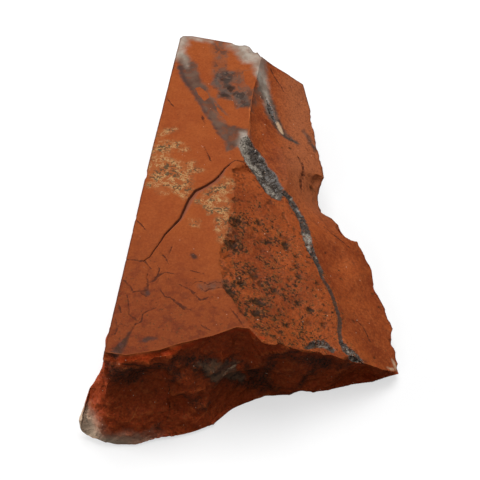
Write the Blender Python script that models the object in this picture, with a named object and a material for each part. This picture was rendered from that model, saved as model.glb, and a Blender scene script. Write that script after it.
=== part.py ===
"""A broken lump of red jasper that lies on its back, with one sawn face on top.

Sizes are in millimetres here and become metres in the mesh. +X is right, +Y is away and +Z is up, and the
stone stands on z = 0 with the middle of its box over the origin. The stone starts as a divided box. Its top
and underside are carried onto patches stretched between the creases below, and its sides onto what joins
the two rims. Chips and a fracture relief follow, and then the open fissure and the crystal-lined gash.
"""

import bpy
import bmesh
import numpy as np
from mathutils import Matrix
from mathutils import Vector

MM = 0.001
COLUMNS = (14, 8, 8)  # divisions across: left of the ridge, ridge to vein, vein to right rim
ROWS = 44
LAYERS = 9
COLOUR = (0.32, 0.085, 0.035, 1.0)
ROUGHNESS = 0.62

# Creases that run from the near side to the far side of the upper surface
SAW_EDGE = ((-23.3, -39.5, 19.6), (-18.3, 3.6, 18.8), (-13.1, 44.5, 18.1))
RIDGE = (
    (3.3, -37.8, 20.1), (-0.3, -31.1, 19.9), (-3.1, -25.8, 19.7), (-4.1, -20.4, 19.6), (-3.9, -16.3, 19.5),
    (-2.9, -12.0, 19.5), (-2.0, -5.0, 19.4), (-1.8, 4.4, 19.2), (0.3, 6.0, 19.2), (1.1, 15.4, 19.0),
    (2.3, 27.7, 18.8), (3.9, 37.8, 18.6),
)
VEIN = (
    (19.7, -33.6, 9.5), (17.5, -29.0, 10.8), (17.2, -24.1, 11.2), (15.3, -18.1, 12.2), (12.3, -7.5, 13.1),
    (9.4, 2.8, 14.0), (8.4, 10.3, 14.4), (5.8, 24.6, 15.3), (4.7, 31.3, 16.2), (5.8, 38.2, 16.7),
)
RIGHT_RIM = (
    (28.3, -31.2, 2.7), (28.4, -28.9, 3.2), (27.5, -25.4, 3.8), (27.9, -22.7, 4.0), (26.7, -17.9, 4.3),
    (25.1, -13.2, 4.8), (24.9, -9.0, 5.3), (22.6, -2.7, 6.3), (18.2, 1.6, 7.2), (17.6, 2.5, 7.2),
    (15.4, 4.9, 6.6), (15.0, 8.0, 6.8), (15.4, 10.1, 8.1), (16.2, 11.3, 9.7), (15.7, 16.2, 9.9),
    (14.0, 31.0, 10.8), (12.9, 37.7, 11.2),
)

# Rims of the upper surface that run from left to right
NEAR_RIM = (
    (-23.3, -39.5, 19.6), (-19.6, -40.2, 19.7), (-14.0, -39.2, 19.8), (-11.2, -38.0, 19.8), (-5.1, -36.3, 19.9),
    (-1.1, -34.4, 19.9), (1.1, -34.8, 20.0), (3.3, -37.8, 20.1), (10.1, -35.7, 15.1), (16.2, -34.4, 11.5),
    (19.7, -33.6, 9.5), (25.2, -32.4, 5.0), (28.3, -31.2, 2.7),
)
FAR_RIM = (
    (-13.1, 44.5, 18.1), (-12.5, 45.2, 18.1), (-10.6, 45.1, 18.2), (-3.6, 42.9, 18.4), (1.2, 41.5, 18.5),
    (3.1, 39.4, 18.6), (3.9, 37.8, 18.6), (5.8, 38.2, 16.7), (12.9, 37.7, 11.2),
)

# The rim of the underside, side by side
LEFT_FOOT = (
    (-26.6, -43.9, 0.5), (-24.6, -36.0, 0.4), (-22.4, -28.0, 0.6), (-20.4, -14.0, 0.9), (-18.6, 0.0, 0.7),
    (-16.6, 14.0, 1.0), (-14.4, 30.0, 0.8), (-12.6, 43.4, 1.1),
)
RIGHT_FOOT = (
    (28.5, -30.6, 1.4), (27.0, -23.0, 1.0), (25.6, -16.0, 1.1), (24.0, -10.0, 1.2), (22.0, -4.5, 1.3),
    (19.2, -0.6, 1.4), (16.4, 2.6, 1.2), (14.3, 6.0, 1.0), (14.1, 10.0, 1.2), (14.4, 16.0, 1.4),
    (13.4, 26.0, 1.3), (12.0, 36.2, 1.3),
)
NEAR_FOOT = (
    (-26.6, -43.9, 0.5), (-24.4, -44.9, 0.3), (-22.6, -45.2, 0.3), (-19.0, -45.0, 0.3), (-12.4, -43.4, 0.3),
    (-8.3, -42.1, 0.5), (-4.6, -40.7, 0.5), (-1.2, -37.7, 0.4), (2.7, -35.3, 0.5), (4.1, -34.5, 0.5),
    (11.6, -33.8, 0.5), (15.7, -33.5, 0.5), (19.9, -32.1, 0.5), (23.8, -31.9, 0.5), (28.5, -30.6, 1.4),
)
FAR_FOOT = (
    (-12.6, 43.4, 1.1), (-9.0, 43.8, 1.0), (-4.0, 41.5, 0.8), (0.0, 40.2, 1.1), (3.7, 37.2, 1.0),
    (5.7, 36.9, 1.2), (9.0, 36.6, 1.2), (12.0, 36.2, 1.3),
)
FOOT_COLUMNS = ((-26.6, 4.1, 19.9, 28.5), (-12.6, 3.7, 5.7, 12.0))  # where the creases meet the near and far foot

# The steep drop just right of the upper ridge: how far the slope hollows at each share of the ridge's run
HOLLOW_RUN = (0.0, 0.45, 0.60, 0.85, 1.0)
HOLLOW_POWER = (1.0, 0.95, 0.55, 0.60, 0.90)

# The lobe at the foot of the near left corner: how far it stands out at each share of the height
LOBE_CORNER = (-26.0, -42.5)
LOBE_REACH = 8.0
LOBE_HEIGHT = (0.0, 0.08, 0.17, 0.50, 0.65, 0.75, 1.0)
LOBE_OUT = (0.0, 1.8, 2.4, 1.6, 0.3, -0.3, 0.0)
LOBE_DIRECTION = (-1.0, -0.12, 0.0)

# The flat spot that the stone rests on, and how far the underside lifts beyond it
REST_CENTRE = (-3.0, -7.0)
REST_RADII = (13.0, 26.0)
REST_LIFT = 0.9

# Shell-like chips: a point on the skin, the way out of the stone, the chip's radius and its depth
CHIPS = (
    ((-2.5, -36.9, 16.0), (0.1, -1.0, 0.35), 12.0, 1.1),
    ((-18.0, -41.6, 12.5), (0.0, -1.0, 0.15), 14.0, 0.9),
    ((4.0, -35.6, 6.0), (-0.1, -1.0, -0.1), 10.0, 1.1),
    ((17.0, -34.0, 6.0), (0.1, -1.0, 0.1), 13.0, 0.7),
    ((10.0, 21.0, 13.2), (0.45, 0.0, 0.9), 24.0, 0.8),
    ((20.5, -13.0, 8.6), (0.4, 0.1, 0.9), 22.0, 0.8),
    ((13.5, 1.0, 11.0), (0.45, 0.1, 0.9), 16.0, 0.6),
    ((-7.0, 44.2, 8.0), (0.1, 1.0, 0.1), 16.0, 1.7),
    ((1.5, 41.0, 13.0), (0.3, 1.0, 0.2), 9.0, 1.0),
    ((9.0, 37.6, 5.0), (0.1, 1.0, 0.0), 11.0, 1.2),
    ((-20.6, -20.0, 7.0), (-1.0, 0.05, -0.1), 26.0, 1.1),
    ((-18.6, 2.0, 13.0), (-1.0, 0.1, 0.25), 17.0, 0.9),
    ((-16.2, 16.0, 5.0), (-1.0, 0.1, -0.1), 20.0, 1.2),
    ((-14.4, 33.0, 11.0), (-1.0, 0.15, 0.1), 19.0, 1.1),
    ((15.2, 26.0, 5.0), (1.0, 0.0, -0.2), 15.0, 1.0),
    ((26.0, -17.0, 2.0), (1.0, 0.2, -0.4), 9.0, 0.7),
    ((19.5, -19.0, 0.8), (0.0, 0.0, -1.0), 24.0, 1.2),
    ((-6.0, 31.0, 0.6), (0.0, 0.0, -1.0), 24.0, 1.5),
    ((-16.0, -37.0, 0.4), (0.0, 0.0, -1.0), 20.0, 1.1),
)

# Fracture relief: wavelength and height of each octave, and the share of it that each kind of face shows
RELIEF = ((11.0, 0.55), (5.0, 0.28))
SAWN_SHARE = 0.04
BROKEN_SHARE = 1.0
NOISE_SEED = 29
NOISE_CELLS = 16

# The open fissure across the sawn face, and the crystal-lined gash that it meets at the ridge
FISSURE = (
    (3.4, 1.6), (0.2, 5.7), (-1.1, 6.7), (-3.5, 4.2), (-5.1, 1.2), (-8.8, -1.5), (-10.2, -4.3), (-11.5, -9.2),
    (-14.2, -13.1), (-15.2, -15.8), (-17.8, -18.8),
)
FISSURE_TOP = 19.2
FISSURE_WIDTH = 1.0
FISSURE_DEPTH = 1.5
GASH = ((0.6, 11.4), (1.7, 9.5), (3.9, 6.6), (6.1, 4.2), (8.3, 2.4))
GASH_TOP = (18.4, 17.4, 15.9, 15.0, 14.2)
GASH_WIDTH = 2.2
GASH_DEPTH = 1.2
CUTTER_RISE = 2.2

SPLITS = (COLUMNS[0] / sum(COLUMNS), (COLUMNS[0] + COLUMNS[1]) / sum(COLUMNS))


def clear():
    """Empties the file of objects and meshes."""
    for item in list(bpy.data.objects):
        bpy.data.objects.remove(item, do_unlink=True)
    for mesh in list(bpy.data.meshes):
        bpy.data.meshes.remove(mesh)


def run_of(curve, axis, share):
    """Points at each share of a curve's run along one axis, 0 for x and 1 for y."""
    points = np.array(curve)
    place = points[0, axis] + share * (points[-1, axis] - points[0, axis])
    return np.stack([np.interp(place, points[:, axis], points[:, k]) for k in range(3)], axis=-1)


def rim_part(curve, low, high, share):
    """Points of a left-to-right rim between two of its x values, at each share of the way."""
    points = np.array(curve)
    place = low + share * (high - low)
    return np.stack([np.interp(place, points[:, 0], points[:, k]) for k in range(3)], axis=-1)


def stretched(near, far, left, right, s, t):
    """The smooth patch that fills four edges; each edge is a function of a share from 0 to 1."""
    one = np.ones_like(s)
    a = s[:, None]
    b = t[:, None]
    edges = (1 - b) * near(s) + b * far(s) + (1 - a) * left(t) + a * right(t)
    corners = (1 - a) * (1 - b) * left(0 * one) + a * (1 - b) * right(0 * one)
    corners = corners + (1 - a) * b * left(one) + a * b * right(one)
    return edges - corners


def patches():
    """The three patches between creases, as the shares of the width where each starts and ends."""
    return ((0, 0.0, SPLITS[0]), (1, SPLITS[0], SPLITS[1]), (2, SPLITS[1], 1.0))


def upper_surface(u, v):
    """The upper surface, patch by patch between its creases."""
    creases = (SAW_EDGE, RIDGE, VEIN, RIGHT_RIM)
    points = np.zeros((len(u), 3))
    for index, start, end in patches():
        left, right = creases[index], creases[index + 1]
        chosen = (u >= start - 1e-9) & (u <= end + 1e-9)
        s = np.clip((u[chosen] - start) / (end - start), 0.0, 1.0)
        t = v[chosen]
        points[chosen] = stretched(
            lambda k: rim_part(NEAR_RIM, left[0][0], right[0][0], k),
            lambda k: rim_part(FAR_RIM, left[-1][0], right[-1][0], k),
            lambda k: run_of(left, 1, k),
            lambda k: run_of(right, 1, k),
            s,
            t,
        )
        if index == 1:
            power = np.interp(t, HOLLOW_RUN, HOLLOW_POWER)
            drop = run_of(left, 1, t)[:, 2] - run_of(right, 1, t)[:, 2]
            inside = np.minimum(1.0, 12.0 * t * (1 - t))
            points[chosen, 2] -= drop * (s**power - s) * inside
    return points


def under_surface(u, v):
    """The underside, with a flat spot in its middle that the stone rests on."""
    shares = (0.0, SPLITS[0], SPLITS[1], 1.0)

    def near(k):
        return rim_part(NEAR_FOOT, 0.0, 1.0, np.interp(k, shares, FOOT_COLUMNS[0]))

    def far(k):
        return rim_part(FAR_FOOT, 0.0, 1.0, np.interp(k, shares, FOOT_COLUMNS[1]))

    points = stretched(near, far, lambda k: run_of(LEFT_FOOT, 1, k), lambda k: run_of(RIGHT_FOOT, 1, k), u, v)
    away = rest_distance(points)
    lift = REST_LIFT * np.clip(away - 1.0, 0.0, 1.0) * (1.0 + 0.8 * noise(points, 7.0))
    border = np.minimum(np.minimum(u, 1 - u) * 8.0, np.minimum(v, 1 - v) * 10.0)
    border = np.clip(border, 0.0, 1.0)
    points[:, 2] = (1 - border) * points[:, 2] + border * lift
    points[away < 1.0, 2] = 0.0
    return points


def rest_distance(points):
    """Distance from the middle of the flat spot, where 1 is its edge."""
    x = (points[:, 0] - REST_CENTRE[0]) / REST_RADII[0]
    y = (points[:, 1] - REST_CENTRE[1]) / REST_RADII[1]
    return np.sqrt(x * x + y * y)


def noise(points, wavelength):
    """Smooth noise from -1 to 1 at each point, the same on every run."""
    table = np.random.default_rng(NOISE_SEED).uniform(-1.0, 1.0, (NOISE_CELLS,) * 3)
    place = points / wavelength + 0.37 * NOISE_CELLS
    cell = np.floor(place).astype(int)
    part = place - cell
    part = part**3 * (part * (part * 6 - 15) + 10)
    total = np.zeros(len(points))
    for corner in np.ndindex(2, 2, 2):
        at = (cell + corner) % NOISE_CELLS
        weight = np.prod(np.where(corner, part, 1 - part), axis=1)
        total += weight * table[at[:, 0], at[:, 1], at[:, 2]]
    return total


def with_lobe(points, w):
    """Pushes out the foot of the near left corner."""
    away = np.hypot(points[:, 0] - LOBE_CORNER[0], points[:, 1] - LOBE_CORNER[1]) / LOBE_REACH
    size = np.interp(w, LOBE_HEIGHT, LOBE_OUT) * np.exp(-away * away)
    return points + size[:, None] * np.array(LOBE_DIRECTION)


def with_chips(points, held):
    """Hollows out each chip: what lies inside its ball moves to the ball's skin."""
    for place, way, radius, depth in CHIPS:
        outward = np.array(way) / np.linalg.norm(way)
        centre = np.array(place) + outward * (radius - depth)
        off = points - centre
        distance = np.maximum(np.linalg.norm(off, axis=1), 1e-6)
        inside = (distance < radius) & ~held
        points[inside] = centre + off[inside] * (radius / distance[inside])[:, None]
    return points


def divided_box():
    """A unit box divided along x, y and z."""
    box = bmesh.new()
    bmesh.ops.create_cube(box, size=1.0, matrix=Matrix.Translation((0.5, 0.5, 0.5)))
    for axis, count in enumerate((sum(COLUMNS), ROWS, LAYERS)):
        along = [e for e in box.edges if abs(e.verts[0].co[axis] - e.verts[1].co[axis]) > 0.5]
        bmesh.ops.subdivide_edges(box, edges=along, cuts=count - 1, use_grid_fill=True)
    return box


def to_stone(box):
    """Carries every vertex of the divided box onto the stone's skin."""
    unit = np.array([vertex.co for vertex in box.verts])
    u, v, w = unit.T
    upper = upper_surface(u, v)
    under = under_surface(u, v)
    points = under + w[:, None] * (upper - under)
    side = (w > 0.001) & (w < 0.999)
    points[side] = with_lobe(points[side], w[side])
    resting = (w < 0.001) & (rest_distance(points) < 1.0)
    sawn = (w > 0.999) & (u < SPLITS[0] + 0.001)
    points = with_chips(points, resting | sawn)
    place_vertices(box, points)
    box.normal_update()
    normals = np.array([vertex.normal for vertex in box.verts])
    share = np.where(sawn, SAWN_SHARE, BROKEN_SHARE)
    share[resting] = 0.0
    relief = sum(height * noise(points, wavelength) for wavelength, height in RELIEF)
    points = points + (share * relief)[:, None] * normals
    points[:, 2] = np.maximum(points[:, 2], 0.0)
    place_vertices(box, points)


def place_vertices(box, points):
    """Writes the points to the vertices, in the same order."""
    for vertex, point in zip(box.verts, points):
        vertex.co = point


def wedge(path, tops, width, depth):
    """A closed wedge along a path: wide at the top, sharp at the bottom, narrow at both ends."""
    count = len(path)
    shares = np.linspace(0.0, 1.0, count)
    slim = 0.35 + 0.65 * np.sin(np.pi * shares) ** 0.5
    spread = 0.5 * width * (depth + CUTTER_RISE) / depth
    body = bmesh.new()
    rings = []
    for index, (x, y) in enumerate(path):
        before = Vector(path[max(index - 1, 0)])
        after = Vector(path[min(index + 1, count - 1)])
        heading = (after - before).normalized()
        side = Vector((-heading.y, heading.x)) * spread * slim[index]
        high = tops[index] + CUTTER_RISE
        low = tops[index] - depth * slim[index]
        corners = ((x + side.x, y + side.y, high), (x - side.x, y - side.y, high), (x, y, low))
        rings.append([body.verts.new(corner) for corner in corners])
    for ring, following in zip(rings, rings[1:]):
        for k in range(3):
            n = (k + 1) % 3
            body.faces.new((ring[k], ring[n], following[n], following[k]))
    body.faces.new(rings[0][::-1])
    body.faces.new(rings[-1])
    bmesh.ops.recalc_face_normals(body, faces=body.faces)
    return body


def as_object(name, body):
    """Makes an object of a mesh body, in metres."""
    bmesh.ops.triangulate(body, faces=body.faces)
    bmesh.ops.scale(body, vec=(MM, MM, MM), verts=body.verts)
    mesh = bpy.data.meshes.new(name)
    body.to_mesh(mesh)
    body.free()
    made = bpy.data.objects.new(name, mesh)
    bpy.context.collection.objects.link(made)
    return made


def cut(stone, cutter):
    """Takes the cutter's volume out of the stone, and the cutter away."""
    step = stone.modifiers.new("cut", "BOOLEAN")
    step.operation = "DIFFERENCE"
    step.solver = "EXACT"
    step.object = cutter
    bpy.context.view_layer.objects.active = stone
    bpy.ops.object.modifier_apply(modifier=step.name)
    bpy.data.objects.remove(cutter, do_unlink=True)


def centred(stone):
    """Moves the mesh so that the middle of its box is over the origin and it stands on z = 0."""
    corners = np.array([vertex.co for vertex in stone.data.vertices])
    low = corners.min(axis=0)
    high = corners.max(axis=0)
    shift = Vector((-(low[0] + high[0]) / 2, -(low[1] + high[1]) / 2, -low[2]))
    stone.data.transform(Matrix.Translation(shift))


def jasper():
    """The stone's plain material."""
    material = bpy.data.materials.new("jasper")
    material.use_nodes = True
    shader = material.node_tree.nodes["Principled BSDF"]
    shader.inputs["Base Color"].default_value = COLOUR
    shader.inputs["Roughness"].default_value = ROUGHNESS
    shader.inputs["Metallic"].default_value = 0.0
    return material


def main():
    """Builds the stone."""
    clear()
    box = divided_box()
    to_stone(box)
    stone = as_object("red_jasper", box)
    tops = (FISSURE_TOP,) * len(FISSURE)
    cut(stone, as_object("fissure", wedge(FISSURE, tops, FISSURE_WIDTH, FISSURE_DEPTH)))
    cut(stone, as_object("gash", wedge(GASH, GASH_TOP, GASH_WIDTH, GASH_DEPTH)))
    centred(stone)
    stone.data.materials.clear()
    stone.data.materials.append(jasper())


main()
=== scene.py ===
"""The looks of a broken lump of red jasper that lies on a pale floor.

The stone's skin is worked out in millimetres with numpy as one closed sheet: an upper surface stretched
between creases, sides that join its rim to the rim of the underside, and the underside itself. Chips, a
fracture relief, pits, cracks, an open fissure and a crystal-lined gash follow, and each leaves its distance
in an attribute of the mesh, which the finish reads for its colours.
"""

from __future__ import annotations

import logging
import math
from collections.abc import Callable
from dataclasses import dataclass
from dataclasses import field
from enum import Enum

import bpy
import numpy as np
from mathutils import Euler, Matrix
from mathutils import Vector

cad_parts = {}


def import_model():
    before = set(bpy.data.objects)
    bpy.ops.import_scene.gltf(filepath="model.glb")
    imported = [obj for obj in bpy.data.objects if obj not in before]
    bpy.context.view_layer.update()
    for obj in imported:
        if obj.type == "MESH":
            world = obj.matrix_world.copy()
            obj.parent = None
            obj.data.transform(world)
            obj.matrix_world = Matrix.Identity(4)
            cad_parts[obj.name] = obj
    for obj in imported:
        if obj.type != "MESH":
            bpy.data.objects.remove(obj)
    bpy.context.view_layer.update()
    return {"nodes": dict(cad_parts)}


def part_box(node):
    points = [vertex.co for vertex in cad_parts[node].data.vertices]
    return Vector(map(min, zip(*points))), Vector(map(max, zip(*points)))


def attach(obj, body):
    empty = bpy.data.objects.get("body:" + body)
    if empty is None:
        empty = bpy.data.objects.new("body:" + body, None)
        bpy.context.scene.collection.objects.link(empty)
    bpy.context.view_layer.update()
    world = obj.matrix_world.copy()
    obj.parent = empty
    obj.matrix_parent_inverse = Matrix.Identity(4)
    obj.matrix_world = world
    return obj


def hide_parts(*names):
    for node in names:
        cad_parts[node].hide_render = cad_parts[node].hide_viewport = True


Array = np.ndarray
Point = tuple[float, float]
Place = tuple[float, float, float]
Colour = tuple[float, float, float]
Edge = Callable[[Array], Array]

MM = 0.001
TINY = 1e-12
MARK_REACH = 3.0
ON_TOP = 0.999
NODE = "red_jasper"
LOG = logging.getLogger("red_jasper")


class Side(Enum):
    """The sides of the stone that carry marks of their own, with the two axes that a mark is drawn on."""

    TOP = (0, 1)
    NEAR = (0, 2)
    LEFT = (1, 2)


def smooth_step(value: Array, low: float, high: float) -> Array:
    """Rises from 0 at low to 1 at high, level at both ends.

    Args:
        value: The numbers to read.
        low: Where the rise starts.
        high: Where the rise ends.

    Returns:
        The share of the rise at each number: 3 k^2 - 2 k^3, with k the clipped linear share.
    """
    share = np.clip((value - low) / (high - low), 0.0, 1.0)
    return share * share * (3.0 - 2.0 * share)


def to_segment(flat: Array, start: Array, end: Array) -> tuple[Array, Array, Array]:
    """Measures points against one straight piece.

    Args:
        flat: Points on a plane, one row each.
        start: The piece's first end.
        end: The piece's second end.

    Returns:
        The distance to the piece, the side as +1 or -1 by the sign of the cross product, and the share of
        the piece's length where it is nearest.
    """
    along = end - start
    off = flat - start
    share = np.clip(off @ along / (along @ along), 0.0, 1.0)
    gap = off - share[:, None] * along
    turn = along[0] * off[:, 1] - along[1] * off[:, 0]
    return np.hypot(gap[:, 0], gap[:, 1]), np.where(turn < 0.0, 1.0, -1.0), share


def to_path(flat: Array, path: tuple[Point, ...]) -> tuple[Array, Array]:
    """Measures points against a path of straight pieces.

    Args:
        flat: Points on a plane, one row each.
        path: The path's corners in order.

    Returns:
        The signed distance to the nearest piece, positive on the path's right, and the share of the whole
        path's length where it is nearest.
    """
    corners = np.array(path)
    lengths = np.hypot(*np.diff(corners, axis=0).T)
    starts = np.concatenate([[0.0], np.cumsum(lengths)])
    best = np.full(len(flat), np.inf)
    signed = np.zeros(len(flat))
    place = np.zeros(len(flat))
    for index, length in enumerate(lengths):
        gap, turn, share = to_segment(flat, corners[index], corners[index + 1])
        nearer = gap < best
        best = np.where(nearer, gap, best)
        signed = np.where(nearer, gap * turn, signed)
        place = np.where(nearer, (starts[index] + share * length) / starts[-1], place)
    return signed, place


def in_outline(flat: Array, outline: tuple[Point, ...]) -> Array:
    """Measures how deep points lie in a closed outline.

    Args:
        flat: Points on a plane, one row each.
        outline: The outline's corners in order.

    Returns:
        The distance to the outline, positive inside it and negative outside, by counting how many sides
        each point has on its right.
    """
    corners = np.array(outline)
    following = np.roll(corners, -1, axis=0)
    best = np.full(len(flat), np.inf)
    inside = np.zeros(len(flat), dtype=bool)
    for start, end in zip(corners, following):
        gap, _, _ = to_segment(flat, start, end)
        best = np.minimum(best, gap)
        spans = (start[1] > flat[:, 1]) != (end[1] > flat[:, 1])
        rise = end[1] - start[1] if end[1] != start[1] else 1.0
        cross = start[0] + (flat[:, 1] - start[1]) * (end[0] - start[0]) / rise
        inside ^= spans & (flat[:, 0] < cross)
    return np.where(inside, best, -best)


@dataclass(frozen=True)
class Noise:
    """Smooth noise in space, the same on every run."""

    seed: int = 29
    cells: int = 16

    def at(self, points: Array, wavelength: float, offset: float = 0.0) -> Array:
        """Reads the noise.

        Args:
            points: Points in millimetres, one row each.
            wavelength: The size of one cell of the noise.
            offset: A shift in cells, so that octaves don't line up.

        Returns:
            A number from -1 to 1 for each point: random corner values of its cell, blended by
            6 k^5 - 15 k^4 + 10 k^3 along each axis.
        """
        table = np.random.default_rng(self.seed).uniform(-1.0, 1.0, (self.cells,) * 3)
        place = points / wavelength + 0.37 * self.cells + offset
        cell = np.floor(place).astype(int)
        part = place - cell
        part = part**3 * (part * (part * 6 - 15) + 10)
        total = np.zeros(len(points))
        for corner in np.ndindex(2, 2, 2):
            at = (cell + corner) % self.cells
            weight = np.prod(np.where(corner, part, 1 - part), axis=1)
            total += weight * table[at[:, 0], at[:, 1], at[:, 2]]
        return total


@dataclass(frozen=True)
class Dent:
    """A ball pressed into the skin: its deepest place, the way out there, its radius and its depth."""

    place: Place
    way: Place
    radius: float
    depth: float

    def measure(self, points: Array) -> tuple[Array, Array, Array]:
        """Measures points against the ball.

        Args:
            points: The skin's points.

        Returns:
            The way out, one long, the ball's centre, and the points from the centre.
        """
        outward = np.array(self.way) / np.linalg.norm(self.way)
        centre = np.array(self.place) + outward * (self.radius - self.depth)
        return outward, centre, points - centre


@dataclass(frozen=True)
class Chip(Dent):
    """A shell-like hollow: the skin inside a ball moves out to the ball's own skin."""

    def carve(self, points: Array, free: Array) -> None:
        """Moves the points inside the ball onto it.

        Args:
            points: The skin's points, changed in place.
            free: Which points may move.
        """
        _, centre, off = self.measure(points)
        square = np.einsum("ij,ij->i", off, off)
        chosen = np.flatnonzero((square < self.radius**2) & free)
        distance = np.sqrt(np.maximum(square[chosen], TINY))
        points[chosen] = centre + off[chosen] * (self.radius / distance)[:, None]


@dataclass(frozen=True)
class Scoop(Dent):
    """A small flake's scar: the skin inside a ball sinks straight in to the ball's far side."""

    def carve(self, points: Array, free: Array) -> None:
        """Sinks the points inside the ball.

        Args:
            points: The skin's points, changed in place.
            free: Which points may move.
        """
        outward, _, off = self.measure(points)
        rise = off @ outward
        aside = np.einsum("ij,ij->i", off, off) - rise**2
        floor = -np.sqrt(np.maximum(self.radius**2 - aside, 0.0))
        chosen = (aside < self.radius**2) & (rise > floor) & (rise < 0.0) & free
        points[chosen] += outward * (floor - rise)[chosen, None]


@dataclass
class Lattice:
    """The closed sheet's own net: a grid on top, rings down the sides and a coarser grid underneath.

    A unit box carries it, with u across, v away and w up. Every third point of the foot's ring meets the
    coarser grid, so the underside, which is out of sight, takes few faces.
    """

    columns: tuple[int, int, int] = (87, 51, 51)
    rows: int = 312
    rings: int = 34
    coarse: int = 3
    unit: Array = field(init=False)
    loops: list[Array] = field(init=False)

    def __post_init__(self) -> None:
        """Makes the unit points and the faces."""
        across = sum(self.columns)
        top = self._grid(np.linspace(0, 1, across + 1), np.linspace(0, 1, self.rows + 1), 1.0)
        rim = self._rim(across, self.rows)
        sides = np.concatenate(
            [np.c_[top[rim, :2], np.full(len(rim), 1.0 - k / self.rings)] for k in range(1, self.rings + 1)]
        )
        cells = (across // self.coarse, self.rows // self.coarse)
        inner_u = np.arange(1, cells[0]) / cells[0]
        inner_v = np.arange(1, cells[1]) / cells[1]
        under = self._grid(inner_u, inner_v, 0.0)
        self.unit = np.concatenate([top, sides, under])
        rings = np.vstack([rim, len(top) + np.arange(len(sides)).reshape(self.rings, len(rim))])
        under_start = len(top) + len(sides)
        self.loops = [
            self._cells(across, self.rows),
            self._bands(rings),
            self._cells(cells[0] - 2, cells[1] - 2)[:, ::-1] + under_start,
            self._stitches(rings[-1], cells, under_start),
        ]

    @property
    def splits(self) -> tuple[float, float]:
        """The shares of the width where the ridge and the vein run."""
        return self.columns[0] / sum(self.columns), sum(self.columns[:2]) / sum(self.columns)

    @staticmethod
    def _grid(across: Array, away: Array, height: float) -> Array:
        """Lays out a grid of unit points.

        Args:
            across: The u values.
            away: The v values.
            height: The w value of all of them.

        Returns:
            One row of u, v, w for each point, u fastest.
        """
        u, v = np.meshgrid(across, away)
        return np.c_[u.ravel(), v.ravel(), np.full(u.size, height)]

    @staticmethod
    def _rim(across: int, away: int) -> Array:
        """Lists a grid's border.

        Args:
            across: Cells across.
            away: Cells away.

        Returns:
            The border's point numbers, anticlockwise from above, from the near left corner.
        """
        row = across + 1
        near = np.arange(0, across)
        right = across + row * np.arange(0, away)
        far = away * row + np.arange(across, 0, -1)
        left = row * np.arange(away, 0, -1)
        return np.concatenate([near, right, far, left])

    @staticmethod
    def _cells(across: int, away: int) -> Array:
        """Lists a grid's four-sided faces.

        Args:
            across: Cells across.
            away: Cells away.

        Returns:
            Four point numbers for each face, anticlockwise from above.
        """
        row = across + 1
        start = (np.arange(away)[:, None] * row + np.arange(across)).ravel()
        return np.c_[start, start + 1, start + row + 1, start + row]

    @staticmethod
    def _bands(rings: Array) -> Array:
        """Lists the faces between rings.

        Args:
            rings: Point numbers, one ring a row, from the top down.

        Returns:
            Four point numbers for each face, facing out.
        """
        upper, lower = rings[:-1], rings[1:]
        faces = (upper, lower, np.roll(lower, -1, axis=1), np.roll(upper, -1, axis=1))
        return np.stack([part.ravel() for part in faces], axis=1)

    def _stitches(self, foot: Array, cells: tuple[int, int], under_start: int) -> Array:
        """Joins the foot's fine ring to the border of the coarse grid.

        Args:
            foot: The fine ring's point numbers.
            cells: Coarse cells across and away that the whole underside would have.
            under_start: The number of the coarse grid's first point.

        Returns:
            Three point numbers for each face, facing down. Each fine edge goes to the coarse point that is
            nearest round the ring, and each coarse edge to the fine point midway between its two ends.
        """
        inner = self._rim(cells[0] - 2, cells[1] - 2) + under_start
        spans = (cells[0] - 2, cells[1] - 2, cells[0] - 2, cells[1] - 2)
        full = (cells[0], cells[1], cells[0], cells[1])
        starts = np.concatenate([[0], np.cumsum(full)])[:-1] * self.coarse
        share = []
        for span, start in zip(spans, starts):
            step = np.arange(span)
            share.append(start + np.where(step == 0, 0, self.coarse * (step + 1)))
        share = np.concatenate(share)
        following = np.append(share[1:], len(foot))
        middle = (share + following) // 2
        edge = np.arange(len(foot))
        owner = inner[np.searchsorted(middle, edge, side="right") % len(inner)]
        outer = np.c_[np.roll(foot, -1), foot, owner]
        inward = np.c_[inner, np.roll(inner, -1), foot[middle % len(foot)]]
        return np.concatenate([outer, inward])

    def triangles(self) -> Array:
        """Splits the faces.

        Returns:
            All faces as triangles, three point numbers each.
        """
        parts = []
        for faces in self.loops:
            parts.append(faces[:, :3])
            if faces.shape[1] == 4:
                parts.append(faces[:, [0, 2, 3]])
        return np.concatenate(parts)


def normals_of(points: Array, triangles: Array) -> Array:
    """Works out the outward way at each point.

    Args:
        points: The skin's points.
        triangles: Three point numbers for each face.

    Returns:
        Unit vectors: the sum of the cross products of the faces round each point, made one long.
    """
    a, b, c = (points[triangles[:, k]] for k in range(3))
    cross = np.cross(b - a, c - a)
    total = np.zeros_like(points)
    for axis in range(3):
        for corner in range(3):
            total[:, axis] += np.bincount(triangles[:, corner], cross[:, axis], minlength=len(points))
    return total / np.maximum(np.linalg.norm(total, axis=1), TINY)[:, None]


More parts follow.
